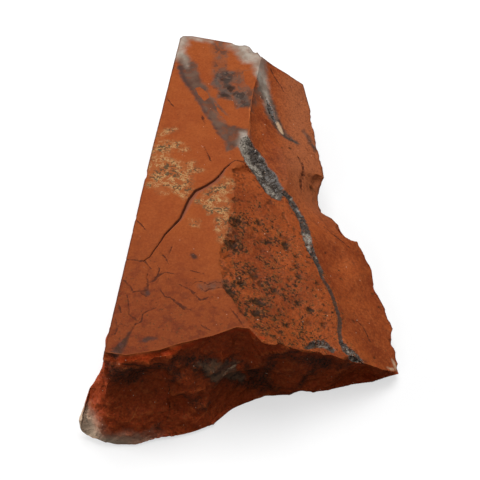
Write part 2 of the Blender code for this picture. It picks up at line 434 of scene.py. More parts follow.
@dataclass
class StoneForm:
    """The stone's large form: creases, rims, foot, lobe and chips, in millimetres.

    Curves run from the near side to the far side, or from left to right.
    """

    splits: tuple[float, float]
    noise: Noise = Noise()
    saw_edge: tuple[Place, ...] = ((-23.3, -39.5, 19.6), (-18.3, 3.6, 18.8), (-13.1, 44.5, 18.1))
    ridge: tuple[Place, ...] = (
        (3.3, -37.8, 20.1), (-0.3, -31.1, 19.9), (-3.1, -25.8, 19.7), (-4.1, -20.4, 19.6),
        (-3.9, -16.3, 19.5),
        (-2.9, -12, 19.5), (-2, -5, 19.4), (-1.8, 4.4, 19.2), (0.3, 6, 19.2), (1.1, 15.4, 19),
        (2.3, 27.7, 18.8), (3.9, 37.8, 18.6),
    )
    vein: tuple[Place, ...] = (
        (19.7, -33.6, 9.5), (17.5, -29, 10.8), (17.2, -24.1, 11.2), (15.3, -18.1, 12.2), (12.3, -7.5, 13.1),
        (9.4, 2.8, 14), (8.4, 10.3, 14.4), (5.8, 24.6, 15.3), (4.7, 31.3, 16.2), (5.8, 38.2, 16.7),
    )
    right_rim: tuple[Place, ...] = (
        (28.3, -31.2, 2.7), (28.4, -28.9, 3.2), (27.5, -25.4, 3.8), (27.9, -22.7, 4), (26.7, -17.9, 4.3),
        (25.1, -13.2, 4.8), (24.9, -9, 5.3), (22.6, -2.7, 6.3), (18.2, 1.6, 7.2), (17.6, 2.5, 7.2),
        (15.4, 4.9, 6.6), (15, 8, 6.8), (15.4, 10.1, 8.1), (16.2, 11.3, 9.7), (15.7, 16.2, 9.9),
        (14, 31, 10.8), (12.9, 37.7, 11.2),
    )
    near_rim: tuple[Place, ...] = (
        (-23.3, -39.5, 19.6), (-19.6, -40.2, 19.7), (-14, -39.2, 19.8), (-11.2, -38, 19.8),
        (-5.1, -36.3, 19.9), (-1.1, -34.4, 19.9), (1.1, -34.8, 20), (3.3, -37.8, 20.1), (10.1, -35.7, 15.1),
        (16.2, -34.4, 11.5), (19.7, -33.6, 9.5), (25.2, -32.4, 5), (28.3, -31.2, 2.7),
    )
    far_rim: tuple[Place, ...] = (
        (-13.1, 44.5, 18.1), (-12.5, 45.2, 18.1), (-10.6, 45.1, 18.2), (-3.6, 42.9, 18.4),
        (1.2, 41.5, 18.5),
        (3.1, 39.4, 18.6), (3.9, 37.8, 18.6), (5.8, 38.2, 16.7), (12.9, 37.7, 11.2),
    )
    left_foot: tuple[Place, ...] = (
        (-26.6, -43.9, 0.5), (-23.6, -36, 0.4), (-21.4, -28, 0.6), (-19.7, -14, 0.9), (-18.2, 0, 0.7),
        (-16.4, 14, 1), (-14.4, 30, 0.8), (-12.6, 43.4, 1.1),
    )
    right_foot: tuple[Place, ...] = (
        (28.5, -30.6, 1.4), (27, -23, 1), (25.6, -16, 1.1), (24, -10, 1.2), (22, -4.5, 1.3),
        (19.2, -0.6, 1.4), (16.4, 2.6, 1.2), (14.3, 6, 1), (14.1, 10, 1.2), (14.4, 16, 1.4),
        (13.4, 26, 1.3), (12, 36.2, 1.3),
    )
    near_foot: tuple[Place, ...] = (
        (-26.6, -43.9, 0.5), (-24.4, -44.9, 0.3), (-22.6, -45.2, 0.3), (-19, -45.4, 0.3), (-12.4, -44, 0.3),
        (-8.3, -42.7, 0.5), (-4.6, -41.2, 0.5), (-1.2, -38.3, 0.4), (2.7, -35.8, 0.5), (4.1, -35, 0.5),
        (11.6, -34.2, 0.5), (15.7, -33.9, 0.5), (19.9, -32.6, 0.5), (23.8, -32.1, 0.5), (28.5, -30.6, 1.4),
    )
    far_foot: tuple[Place, ...] = (
        (-12.6, 43.4, 1.1), (-9, 43.8, 1), (-4, 41.5, 0.8), (0, 40.2, 1.1), (3.7, 37.2, 1),
        (5.7, 36.9, 1.2), (9, 36.6, 1.2), (12, 36.2, 1.3),
    )
    foot_columns: tuple[tuple[float, ...], ...] = ((-26.6, 4.1, 19.9, 28.5), (-12.6, 3.7, 5.7, 12))
    hollow_run: tuple[float, ...] = (0.0, 0.45, 0.60, 0.85, 1.0)
    hollow_power: tuple[float, ...] = (1.0, 0.95, 0.55, 0.60, 0.90)
    lobe_corner: Point = (-26.0, -42.5)
    lobe_reach: float = 8.0
    lobe_height: tuple[float, ...] = (0.0, 0.04, 0.08, 0.17, 0.50, 0.65, 0.75, 1.0)
    lobe_out: tuple[float, ...] = (0.0, 2.0, 2.6, 2.9, 1.8, 0.9, 0.1, 0.0)
    lobe_way: Place = (-1.0, -0.2, 0.0)
    facet_height: tuple[float, ...] = (0.0, 0.2, 0.42, 0.75, 0.92, 1.0)
    facet_border: tuple[float, ...] = (-22.2, -22.4, -22.8, -23.2, -23.5, -23.6)
    facet_slope: tuple[float, ...] = (0.0, 0.15, 0.6, 0.6, 0.3, 0.0)
    rest_centre: Point = (-3.0, -7.0)
    rest_radii: Point = (13.0, 26.0)
    rest_lift: float = 0.9
    rest_waves: tuple[float, float] = (0.8, 7.0)
    foot_reach: tuple[float, float] = (8.0, 10.0)
    chips: tuple[Chip, ...] = (
        Chip((-2.5, -36.9, 16), (0.1, -1, 0.35), 12, 1.1),
        Chip((-18, -41.6, 12.5), (0, -1, 0.15), 14, 0.9),
        Chip((4, -35.6, 6), (-0.1, -1, -0.1), 10, 1.1),
        Chip((17, -34, 6), (0.1, -1, 0.1), 13, 0.7),
        Chip((10, 21, 13.2), (0.45, 0, 0.9), 24, 0.8),
        Chip((20.5, -13, 8.6), (0.4, 0.1, 0.9), 22, 0.8),
        Chip((13.5, 1, 11), (0.45, 0.1, 0.9), 16, 0.6),
        Chip((-7, 44.2, 8), (0.1, 1, 0.1), 16, 1.7),
        Chip((1.5, 41, 13), (0.3, 1, 0.2), 9, 1),
        Chip((9, 37.6, 5), (0.1, 1, 0), 11, 1.2),
        Chip((-20.6, -20, 7), (-1, 0.05, -0.1), 26, 1.1),
        Chip((-18.6, 2, 13), (-1, 0.1, 0.25), 17, 0.9),
        Chip((-16.2, 16, 5), (-1, 0.1, -0.1), 20, 1.2),
        Chip((-14.4, 33, 11), (-1, 0.15, 0.1), 19, 1.1),
        Chip((15.2, 26, 5), (1, 0, -0.2), 15, 1),
        Chip((26, -17, 2), (1, 0.2, -0.4), 9, 0.7),
        Chip((19.5, -19, 0.8), (0, 0, -1), 24, 1.2),
        Chip((-6, 31, 0.6), (0, 0, -1), 24, 1.5),
        Chip((-16, -37, 0.4), (0, 0, -1), 20, 1.1),
    )

    @staticmethod
    def _along(curve: tuple[Place, ...], axis: int, place: Array) -> Array:
        """Reads a curve by one of its axes.

        Args:
            curve: The curve's points, rising along that axis.
            axis: 0 for x or 1 for y.
            place: Where to read it on that axis.

        Returns:
            The curve's point at each place, by straight lines between its own points.
        """
        points = np.array(curve)
        return np.stack([np.interp(place, points[:, axis], points[:, k]) for k in range(3)], axis=-1)

    def _by_run(self, curve: tuple[Place, ...]) -> Edge:
        """Turns a near-to-far curve into a function of the share of its run in y."""
        low, high = curve[0][1], curve[-1][1]
        return lambda share: self._along(curve, 1, low + share * (high - low))

    def _by_part(self, curve: tuple[Place, ...], low: float, high: float) -> Edge:
        """Turns the part of a left-to-right curve between two x values into a function of a share."""
        return lambda share: self._along(curve, 0, low + share * (high - low))

    @staticmethod
    def _stretched(
        near: Edge, far: Edge, left: Edge, right: Edge, s: Array, t: Array
    ) -> Array:
        """Fills four edges with a smooth patch.

        Args:
            near: The near edge, a function of the share across.
            far: The far edge.
            left: The left edge, a function of the share away.
            right: The right edge.
            s: The share across of each point.
            t: The share away of each point.

        Returns:
            The blend of the near and far edges, plus that of the left and right edges, less the blend of
            the four corners.
        """
        one = np.ones_like(s)
        a = s[:, None]
        b = t[:, None]
        edges = (1 - b) * near(s) + b * far(s) + (1 - a) * left(t) + a * right(t)
        corners = (1 - a) * (1 - b) * left(0 * one) + a * (1 - b) * right(0 * one)
        corners = corners + (1 - a) * b * left(one) + a * b * right(one)
        return edges - corners

    def upper(self, u: Array, v: Array) -> Array:
        """Works out the upper surface, patch by patch between its creases.

        Args:
            u: The share of the width of each point.
            v: The share of the depth.

        Returns:
            The points. On the middle patch the slope hollows: its drop goes by a power of the share.
        """
        creases = (self.saw_edge, self.ridge, self.vein, self.right_rim)
        bounds = (0.0, *self.splits, 1.0)
        points = np.zeros((len(u), 3))
        for index in range(3):
            left, right = creases[index], creases[index + 1]
            start, end = bounds[index], bounds[index + 1]
            chosen = (u >= start - 1e-9) & (u <= end + 1e-9)
            s = np.clip((u[chosen] - start) / (end - start), 0.0, 1.0)
            t = v[chosen]
            points[chosen] = self._stretched(
                self._by_part(self.near_rim, left[0][0], right[0][0]),
                self._by_part(self.far_rim, left[-1][0], right[-1][0]),
                self._by_run(left),
                self._by_run(right),
                s,
                t,
            )
            if index == 1:
                power = np.interp(t, self.hollow_run, self.hollow_power)
                drop = self._by_run(left)(t)[:, 2] - self._by_run(right)(t)[:, 2]
                inside = np.minimum(1.0, 12.0 * t * (1 - t))
                points[chosen, 2] -= drop * (s**power - s) * inside
        return points

    def rest_distance(self, points: Array) -> Array:
        """Distance from the middle of the flat spot, where 1 is its edge."""
        x, y = ((points[:, k] - self.rest_centre[k]) / self.rest_radii[k] for k in (0, 1))
        return np.sqrt(x * x + y * y)

    def under(self, u: Array, v: Array) -> Array:
        """Works out the underside, with the flat spot in its middle.

        Args:
            u: The share of the width of each point.
            v: The share of the depth.

        Returns:
            The points of the patch between the four edges of the foot. Away from the flat spot they lift
            with the distance from it.
        """
        shares = (0.0, *self.splits, 1.0)

        def near(k: Array) -> Array:
            """The near edge of the foot."""
            return self._along(self.near_foot, 0, np.interp(k, shares, self.foot_columns[0]))

        def far(k: Array) -> Array:
            """The far edge of the foot."""
            return self._along(self.far_foot, 0, np.interp(k, shares, self.foot_columns[1]))

        left, right = self._by_run(self.left_foot), self._by_run(self.right_foot)
        points = self._stretched(near, far, left, right, u, v)
        away = self.rest_distance(points)
        share, wavelength = self.rest_waves
        waves = 1.0 + share * self.noise.at(points, wavelength)
        lift = self.rest_lift * np.clip(away - 1.0, 0.0, 1.0) * waves
        across, deep = self.foot_reach
        border = np.minimum(np.minimum(u, 1 - u) * across, np.minimum(v, 1 - v) * deep)
        border = np.clip(border, 0.0, 1.0)
        points[:, 2] = (1 - border) * points[:, 2] + border * lift
        points[away < 1.0, 2] = 0.0
        return points

    def skin(self, unit: Array) -> Array:
        """Carries unit points onto the stone.

        Args:
            unit: One row of u, v, w for each point.

        Returns:
            The straight line from the underside to the upper surface at the share w, with the lobe pushed
            out: its profile over the height times a bell curve round its corner. A facet cuts the corner
            above the lobe: it goes in by its slope times the distance past its border.
        """
        u, v, w = unit.T
        lower = self.under(u, v)
        points = lower + w[:, None] * (self.upper(u, v) - lower)
        away = np.hypot(points[:, 0] - self.lobe_corner[0], points[:, 1] - self.lobe_corner[1])
        bell = np.where((w > 1.0 - ON_TOP) & (w < ON_TOP), np.exp(-((away / self.lobe_reach) ** 2)), 0.0)
        size = np.interp(w, self.lobe_height, self.lobe_out) * bell
        points = points + size[:, None] * np.array(self.lobe_way)
        past = np.maximum(0.0, np.interp(w, self.facet_height, self.facet_border) - points[:, 0])
        points[:, 1] += np.interp(w, self.facet_height, self.facet_slope) * past * bell
        return points


@dataclass(frozen=True)
class Path:
    """A crack or thin vein: a path on one side of the stone, with a width at each share of its length."""

    side: Side
    corners: tuple[Point, ...]
    widths: tuple[float, ...] = (0.1, 0.2, 0.1)
    shares: tuple[float, ...] = (0.0, 0.5, 1.0)

    def depth_in(self, points: Array) -> Array:
        """How far inside the path's width each point is, negative outside."""
        gap, place = to_path(points[:, list(self.side.value)], self.corners)
        return 0.5 * np.interp(place, self.shares, self.widths) - np.abs(gap)


@dataclass(frozen=True)
class Patch:
    """A closed outline on one side of the stone."""

    side: Side
    corners: tuple[Point, ...]

    def depth_in(self, points: Array) -> Array:
        """How far inside the outline each point is, negative outside."""
        return in_outline(points[:, list(self.side.value)], self.corners)


@dataclass(frozen=True)
class Ball:
    """A round patch that reaches through the skin, so that it shows on every side it meets."""

    centre: Place
    radii: Place

    def depth_in(self, points: Array) -> Array:
        """How far inside the ball each point is, negative outside, by its smallest radius."""
        off = (points - np.array(self.centre)) / np.array(self.radii)
        return (1.0 - np.linalg.norm(off, axis=1)) * min(self.radii)


Mark = Path | Patch | Ball
TOP, NEAR, LEFT = Side.TOP, Side.NEAR, Side.LEFT


@dataclass(frozen=True)
class Marks:
    """What the stone carries and where, in millimetres before the stone is centred."""

    fissure: Path = Path(
        TOP, ((1.6, 5.4), (0.3, 6.4), (-1.1, 6.9), (-2, 6.2), (-3.5, 4.5), (-4.5, 2.7), (-5.3, 1.6),
        (-7, 0.1), (-8.9, -1.2), (-9.5, -2.4), (-10.1, -3.5), (-10.5, -4.8), (-10.9, -6.3), (-11.5, -8.4),
        (-12.9, -10.6), (-14.1, -12.4), (-15.1, -14.7), (-15.9, -16.3), (-16.6, -17.9), (-17.6, -18.8)),
        (0.16, 0.18, 0.24, 0.38, 0.32, 0.3, 0.2), (0, 0.08, 0.3, 0.42, 0.55, 0.75, 1),
    )
    cracks: tuple[Path, ...] = (
        Path(TOP, ((-17.6, -18.8), (-18.4, -19), (-19.4, -18.6), (-20.9, -18.5)), (0.35, 0.2, 0.1)),
        Path(TOP, ((-17.6, -18.8), (-16.9, -19.8), (-16.4, -20.6)), (0.3, 0.25, 0.1)),
        Path(TOP, ((-16.8, -21.7), (-16.9, -23), (-16.6, -24.1), (-15.5, -23.6), (-15.1, -22.7),
            (-13.7, -21.6), (-12.8, -21.9), (-11.6, -22.1)), (0.15, 0.3, 0.5, 0.3, 0.1),
            (0, 0.3, 0.5, 0.7, 1)),
        Path(TOP, ((-15.1, -22.7), (-14.7, -21.1), (-15, -20.2)), (0.25, 0.2, 0.1)),
        Path(TOP, ((-20.7, -23.7), (-19.7, -24.8), (-19.1, -26.2), (-17.3, -26), (-16.6, -25.8),
            (-16.6, -24.6)), (0.3, 0.2, 0.35)),
        Path(TOP, ((-20.1, -27.1), (-19.8, -28.5), (-19.6, -31.3), (-18.3, -32.5)), (0.2, 0.2, 0.35)),
        Path(TOP, ((-14.8, -29.8), (-16.4, -30.6), (-17.2, -31.3), (-17.3, -33), (-18.3, -33.5),
            (-18.9, -34.9), (-19.4, -36)), (0.15, 0.25, 0.3)),
        Path(TOP, ((-14.3, -26), (-13.5, -27.4), (-12.6, -27.6), (-11.1, -29), (-9.9, -30.2),
            (-9.2, -30.4)), (0.15, 0.3, 0.6, 0.7, 0.2), (0, 0.4, 0.7, 0.9, 1)),
        Path(TOP, ((-11.1, -24.6), (-10.3, -25.1), (-9.2, -25.8), (-8.7, -26.6), (-7.9, -27.6),
            (-7.2, -28.3), (-6.2, -27.8)), (0.15, 0.25, 0.5)),
        Path(TOP, ((-7.2, -25.6), (-6.5, -26.3), (-5.8, -25.7), (-4.4, -25.5), (-3.3, -25.4)),
            (0.2, 0.25, 0.15)),
        Path(TOP, ((-8.9, -24.7), (-8, -23.8), (-6.8, -24.1), (-6.1, -24.7), (-4.9, -24), (-4, -24.3)),
            (0.12, 0.2, 0.12)),
        Path(TOP, ((-19.4, -8.8), (-18.6, -9.8), (-17.8, -11.1)), (0.2, 0.3, 0.15)),
        Path(TOP, ((-7.3, 10.5), (-6.5, 8.3), (-6.1, 7)), (0.2, 0.15, 0.35)),
        Path(TOP, ((-15, 25), (-14.1, 23.4), (-13.6, 22.6)), (0.15, 0.3, 0.15)),
        Path(TOP, ((-7.9, 19.4), (-7.4, 17.8)), (0.5, 0.5, 0.2)),
        Path(TOP, ((6, 36.7), (6.8, 35.3), (8.1, 33.5), (8.6, 32.4)), (0.3, 0.25, 0.2)),
        Path(TOP, ((15.9, -1.9), (17.2, -3.5), (18.8, -4.5), (20.4, -5.7)), (0.2, 0.35, 0.2)),
        Path(TOP, ((11.1, 13.9), (11.9, 12.1), (12.2, 10.4), (11.5, 8.5), (11.6, 5.9)), (0.35, 0.65, 0.3)),
        Path(TOP, ((21, -23.7), (22, -24.5), (23.1, -27)), (0.3, 0.2, 0.3)),
        Path(NEAR, ((-12.8, 10.6), (-12.6, 9.4), (-13.2, 8)), (0.1, 0.2, 0.1)),
        Path(NEAR, ((-13.2, 8), (-12.6, 6.1), (-13.1, 3.7)), (0.1, 0.2, 0.1)),
        Path(NEAR, ((-20.2, 18.3), (-15.7, 17.2), (-12.4, 16.5), (-9.3, 15.9)), (0.25, 0.4, 0.1)),
        Path(TOP, ((-21.4, -29.4), (-21, -30.8)), (0.2, 0.4, 0.2)),
        Path(TOP, ((-21.7, -32.6), (-21.4, -34.3), (-21.7, -35.7)), (0.2, 0.35, 0.2)),
        Path(TOP, ((-20.8, -33.5), (-19.8, -33.9)), (0.2, 0.4, 0.2)),
        Path(TOP, ((-6.9, -34.1), (-5.6, -35)), (0.15, 0.35, 0.15)),
        Path(TOP, ((-9.3, -21.3), (-7.2, -22)), (0.1, 0.25, 0.1)),
        Path(TOP, ((-14.8, -16.8), (-13.7, -18.3), (-13.3, -19.5)), (0.15, 0.25, 0.1)),
        Path(TOP, ((-12.7, -15.4), (-13.2, -17.3)), (0.1, 0.25, 0.1)),
        Path(TOP, ((-2, -30.4), (-0.8, -32.4), (0.1, -34.2)), (0.1, 0.3, 0.1)),
        Path(TOP, ((-17.9, -26.3), (-16.8, -27.2)), (0.15, 0.35, 0.15)),
        Path(TOP, ((-9.6, -25.5), (-8.1, -26.7)), (0.1, 0.25, 0.1)),
    )
    scars: tuple[Path, ...] = (
        Path(NEAR, ((-20, 4.8), (-18.9, 5.9), (-18.1, 7.2)), (0, 0.2, 0)),
        Path(NEAR, ((-22.5, 7.6), (-20.8, 7.8)), (0, 0.2, 0)),
        Path(NEAR, ((-8.4, 2.4), (-6.2, 4), (-5.2, 3.8)), (0, 0.16, 0)),
        Path(TOP, ((1.4, 21.9), (1.5, 16.5), (1.2, 14.5)), (0.2, 0.2, 0.1)),
    )
    purple: tuple[Mark, ...] = (
        Patch(TOP, ((-13.1, 40.3), (-13.2, 34.5), (-12.1, 30.8), (-10.4, 27.2), (-8.5, 23.2), (-6.7, 19),
            (-4.8, 14.8), (-3.3, 11.9), (-3.1, 9.3), (-1.6, 10), (0.1, 11.8), (1.4, 15.5), (-0.3, 16.2),
            (-2.4, 16.6), (-4.4, 18.5), (-5.9, 21.6), (-3.1, 18.9), (-3.4, 20), (-5.2, 23.5), (-6.8, 25.9),
            (-7.1, 27.9), (-8.4, 30.7), (-9.3, 35.6), (-10.9, 37.7))),
        Patch(LEFT, ((39.6, 18.6), (34.2, 18.6), (30.8, 12), (29.2, 5), (28.8, 0.6), (33, 0.6), (35, 8))),
    )
    blots: tuple[Path, ...] = (
        Path(TOP, ((-21.6, -40.2), (-20.2, -37.8), (-19.2, -35.2)), (1.9, 1.3, 0.2)),
        Path(TOP, ((-17.2, -37.4), (-16, -36.8), (-14.6, -36.9)), (0.7, 1.2, 0.2)),
        Path(TOP, ((-16.9, -25.6), (-16.6, -26.9)), (0.7, 0.9, 0.6)),
        Path(TOP, ((-8.9, -17.6), (-8.5, -18.4)), (0.9, 0.9, 0.7)),
        Path(TOP, ((-2.5, 28.2), (-1.9, 27.8)), (1.4, 1.5, 1.2)),
        Path(TOP, ((-4.4, 31.4), (-4, 30.4)), (0.7, 0.8, 0.5)),
        Path(TOP, ((-3.9, 26.3), (-3, 25.6)), (1, 1.2, 0.6)),
    )
    purple_edge: tuple[Path, ...] = (
        Path(LEFT, ((34.6, 18.6), (31, 12), (29.4, 5), (29, 0.8)), (0.6, 1.2, 0.5)),
        Path(TOP, ((-13.5, 34.6), (-12.3, 30.8), (-10.6, 27.2), (-8.7, 23.2), (-6.9, 19), (-5, 14.8),
            (-3.5, 11.9), (-3.2, 9.3)), (2.2, 1, 0.3)),
    )
    breccia: tuple[Mark, ...] = (
        Path(TOP, ((-5, 42.4), (-4.4, 38), (-4.6, 33.4)), (3.2, 2.8, 3)),
        Path(TOP, ((-7, -25.2), (-4.6, -25), (-3.2, -24.4)), (0.8, 1.6, 2)),
        Path(LEFT, ((-4, 15), (2, 9), (4.5, 1)), (1.2, 3, 2)),
        Patch(TOP, ((-4, 34), (4.4, 33), (4.6, 29.5), (3.6, 25.5), (1.5, 21.8), (-2.4, 23), (-4.2, 27))),
        Path(TOP, ((-8.4, 29), (-6.6, 24), (-3, 18.4)), (1.6, 2.2, 1)),
    )
    grey: tuple[Mark, ...] = (
        Patch(TOP, ((-5.4, 32.6), (-3.5, 33.4), (-1.4, 33.3), (-2.4, 30.1), (-1.6, 27), (-2.7, 24.6),
            (-5, 25.1), (-4.7, 27), (-6.3, 29.4))),
        Patch(TOP, ((-2.1, 27), (0.9, 26.9), (1.9, 22), (-1.1, 21.9))),
        Path(TOP, ((4, 31.6), (5.3, 27.3), (6, 24), (8.2, 20.2), (10.9, 18.8)), (2, 2.8, 1)),
        Path(TOP, ((12.6, 23), (13.6, 21.4), (15, 18.6)), (0.6, 1.3, 0.8)),
    )
    olive: tuple[Mark, ...] = (
        Path(NEAR, ((-27, 1.2), (-22, 0.4), (-17, 0.2)), (1.6, 1.4, 0.3)),
        Patch(NEAR, ((-8, 14.6), (-5.9, 14.2), (-1, 12.2), (-1, 9.9), (0.6, 5.4), (-0.2, 4.2), (-2.9, 7.4),
            (-5.6, 10.8))),
    )
    dark: tuple[Mark, ...] = (
        Path(NEAR, ((-11.4, 16.8), (-8.3, 15.3), (-6.2, 12.6), (-3.7, 9.4), (-0.7, 5), (3.4, 2.3),
            (6, 2.7)), (1.4, 2.2, 2.4, 1.6), (0, 0.3, 0.6, 1)),
        Path(NEAR, ((-8.5, 15.4), (-4.6, 13.6), (-1.2, 12.6)), (1, 0.8, 1)),
        Patch(NEAR, ((-12.4, 17.4), (-8, 16.4), (-5.4, 15), (-5.8, 10.2), (-8.8, 13.4), (-10.8, 15.4))),
        Path(NEAR, ((-11.6, 16.4), (-11.3, 13), (-12.9, 10.8)), (1, 1.6, 0.8)),
        Path(NEAR, ((-20.8, 16.8), (-16.4, 15.8), (-13.6, 15.4), (-11.6, 15.6)), (1.6, 2.6, 1.8)),
        Path(NEAR, ((-21.6, 13.4), (-19, 11.4), (-17, 12.6)), (1.2, 1.8, 1.4)),
        Patch(NEAR, ((-22.8, 17.7), (-19.4, 17.8), (-15.4, 17), (-15.8, 13.6), (-17.4, 12.2), (-17.6, 11),
            (-20.6, 11.2), (-21.2, 13), (-22.6, 14.4))),
        Path(NEAR, ((6.3, 13.4), (9.5, 12.4), (12.6, 10.6), (14.8, 8.2)), (1.4, 2, 3.2)),
        Path(NEAR, ((13.2, 8.6), (11.6, 5.6), (9.9, 3.6)), (1.8, 1.4, 0.6)),
        Patch(NEAR, ((-0.5, 12.1), (2.1, 9.6), (3.9, 7.1), (6, 3.6), (3.9, 1.8), (0.8, 3.4), (0.3, 7.3))),
        Path(NEAR, ((3.9, 7.1), (5.3, 11.8), (7, 14.4), (9.9, 14.1)), (2.2, 1.8, 1)),
        Path(NEAR, ((-10.6, 8.7), (-8.5, 7.1), (-6.3, 4.8)), (0.8, 1.4, 0.7)),
        Path(NEAR, ((17.5, 6.6), (18.9, 8.6), (22, 7.7)), (1, 1.6, 0.5)),
        Path(NEAR, ((-15.4, 2.8), (-14.3, 2.4)), (1.2, 1.4, 0.8)),
        Path(LEFT, ((-30, 13), (-24, 8), (-21, 2)), (1, 3, 1.2)),
        Path(LEFT, ((10, 16), (14, 10), (22, 7)), (0.8, 2.2, 0.8)),
    )
    white: tuple[Mark, ...] = (
        Patch(TOP, ((-0.6, 42.5), (3, 41.5), (4.6, 37.6), (4.9, 32), (5, 29.6), (3.9, 29), (3, 31.5),
            (2.3, 35.7), (0.2, 36.2), (-1.1, 38.7))),
        Path(TOP, ((-12.6, 44.8), (-13.1, 41.6), (-13.2, 38.6)), (1.5, 1.6, 2.2)),
        Path(TOP, ((-12, 44.9), (-9, 43.9), (-6.4, 43.2)), (1.4, 0.9, 0.3)),
        Path(TOP, ((-12.2, 38.4), (-11.2, 35)), (1.6, 0.8, 0)),
        Path(TOP, ((4, 36), (4.4, 31), (5.3, 27.2), (6.2, 23.2)), (1.6, 1.6, 0.5)),
        Path(TOP, ((0.4, 14), (0.2, 11), (1.4, 8.2)), (1.6, 1.5, 0.6)),
        Ball((1.6, 42, 17), (4.6, 3, 4.2)),
        Ball((-13.4, 44.4, 16.4), (2.4, 4.2, 4.4)),
    )
    milk: tuple[Ball, ...] = (
        Ball((-29.2, -43.6, 2), (4.6, 7, 4.8)),
        Ball((-23.5, -45.6, 0.8), (5.5, 3, 1.6)),
    )
    cream: tuple[Path, ...] = (
        Path(TOP, ((27.2, -29.2), (28, -31)), (0.3, 0.5, 0.3)),
        Path(TOP, ((26.2, -31.4), (27.4, -31.2)), (0.2, 0.4, 0.2)),
        Path(TOP, ((7.2, 22.6), (7.6, 21.4), (8.1, 20.4)), (0.6, 1, 0.5)),
        Path(NEAR, ((-0.5, 11.9), (-1.7, 11.2), (-2.7, 10.9), (-3.4, 10)), (0.1, 0.5, 0.2)),
    )
    vein: tuple[Path, ...] = (
        Path(TOP, ((8.3, 2.6), (9, 2.4), (9.9, 1.1), (11.1, -1.1), (11.9, -5.3), (12.1, -7.6), (12.5, -9.6),
            (13.3, -11.8), (14.3, -14.2), (14.8, -17.1)), (1.7, 1.9, 1.8, 1.5, 0.7),
            (0, 0.1, 0.5, 0.75, 1)),
        Path(TOP, ((4.9, 28), (5.5, 26.4), (5.8, 24.3), (6.9, 22.2)), (0.3, 1.4, 0.6)),
        Path(TOP, ((11.1, -34), (12.5, -32.7), (14.3, -31.9), (15.7, -32.8)), (0.6, 1.9, 1.3)),
        Path(TOP, ((17.5, -30.6), (18.4, -32), (20.6, -33.6)), (0.9, 2, 2.2)),
    )
    # The lit, rounded band under the near rim: a painted highlight over the shoulder that the lamps light
    # too.
    strip: tuple[Path, ...] = (
        Path(NEAR, ((-20.4, 19), (-14, 19), (-9, 19.2), (-4, 19.4), (0, 19.6), (3.6, 19.4)),
            (1.2, 1.5, 1.5, 1.3, 1.3), (0, 0.15, 0.45, 0.7, 1)),
    )
    seams: tuple[Path, ...] = (
        Path(TOP, ((14.5, -15.6), (14.8, -17.1), (15.9, -19.2), (16.6, -21.3), (17.1, -23.7), (17.6, -25.6),
            (17.3, -28.4), (17.5, -30.6), (18.2, -32)), (1.2, 0.8, 0.8)),
        Path(TOP, ((7.6, 20.8), (8.9, 19.4), (10.9, 18.8)), (0.5, 0.7, 0.3)),
    )
    druse: Patch = Patch(
        TOP, ((-0.7, 10.6), (-0.1, 8.6), (0.5, 6.8), (1.5, 5.9), (2.6, 5), (3.1, 3.4), (4.4, 1.2),
        (5.8, 0.1), (7.1, 0), (7.8, 1.4), (7.6, 2.6), (8, 3.6), (7.2, 5), (6.4, 7.1), (4.9, 8.9),
        (4.5, 10.2), (3.1, 11.9), (2, 13.2), (0.8, 13.9), (-0.2, 13)),
    )
    pale_crystals: tuple[Path, ...] = (
        Path(TOP, ((0.8, 13.8), (0.3, 11.4), (0.8, 9), (1.8, 7.4)), (2.2, 2.4, 1.6)),
        Path(TOP, ((1.6, 7.6), (2.8, 7), (3.6, 6.2)), (1.8, 2, 1)),
        Path(TOP, ((4.6, 3.4), (5.6, 1.8), (6.8, 1.2)), (0.6, 1, 0.8)),
        Path(TOP, ((5.2, 3.2), (6.6, 2.2)), (0.6, 0.9, 0.5)),
        Path(TOP, ((12.1, -7.2), (12.3, -8.4)), (1.6, 1.6, 1.3)),
        Path(TOP, ((12.4, -9.7), (12.7, -10.5)), (0.8, 0.8, 0.5)),
        Path(TOP, ((18.2, -31.6), (19.4, -32.6)), (0.3, 0.7, 0.3)),
        Path(TOP, ((13.6, -32.6), (15, -32.4)), (0.3, 0.7, 0.3)),
    )
    ochre: tuple[Path, ...] = (
        Path(TOP, ((-17.2, 14.2), (-14.9, 15.4), (-12.8, 15.8)), (2.2, 1.6, 0.6)),
        Path(TOP, ((-17.4, 10.6), (-15, 11), (-12.4, 11), (-11, 10)), (3.2, 2.4, 1)),
        Path(TOP, ((-16.6, 8), (-14.8, 4), (-12.2, 1.8), (-10.6, -2.6)), (4, 7.4, 2)),
        Path(TOP, ((-13, 4.6), (-10, 5.2), (-8.4, 4)), (4.2, 3, 1.2)),
        Path(TOP, ((-17.6, 0.4), (-16, 0), (-14.6, -2)), (1.4, 2.4, 1)),
        Path(TOP, ((-3.2, 0.6), (-5.6, -2.8), (-4.6, -5), (-3.4, -8.4)), (2.6, 5, 2.8)),
        Path(TOP, ((-8.2, -4), (-6.4, -4.2), (-5.4, -6.6)), (1.4, 3.6, 2)),
        Path(TOP, ((-3.4, -8.2), (-3.7, -11), (-3.8, -14)), (3, 2.2, 1)),
        Path(TOP, ((-9.2, -9.6), (-8.2, -10.2)), (1, 1.6, 0.8)),
    )
    clasts: tuple[Patch, ...] = (
        Patch(TOP, ((-9.5, 28.2), (-8.6, 28.6), (-7, 26.8), (-6.6, 25.2), (-7.6, 24.2), (-8.8, 25.9))),
        Patch(TOP, ((-5.6, 23.6), (-4.4, 21.4), (-2.4, 18.7), (-1.6, 17.2), (-2.7, 17.6), (-4.9, 20.7))),
        Patch(TOP, ((-2.9, 37.6), (-0.9, 37.9), (-0.8, 35), (-3, 34.9))),
        Patch(TOP, ((0.2, 33.4), (2.7, 33), (3.6, 30), (1.9, 27.6), (0.6, 29.6))),
        Patch(TOP, ((-4.8, 23.8), (-1.8, 24.2), (-1.6, 21), (-2.8, 20.4), (-4, 22))),
    )
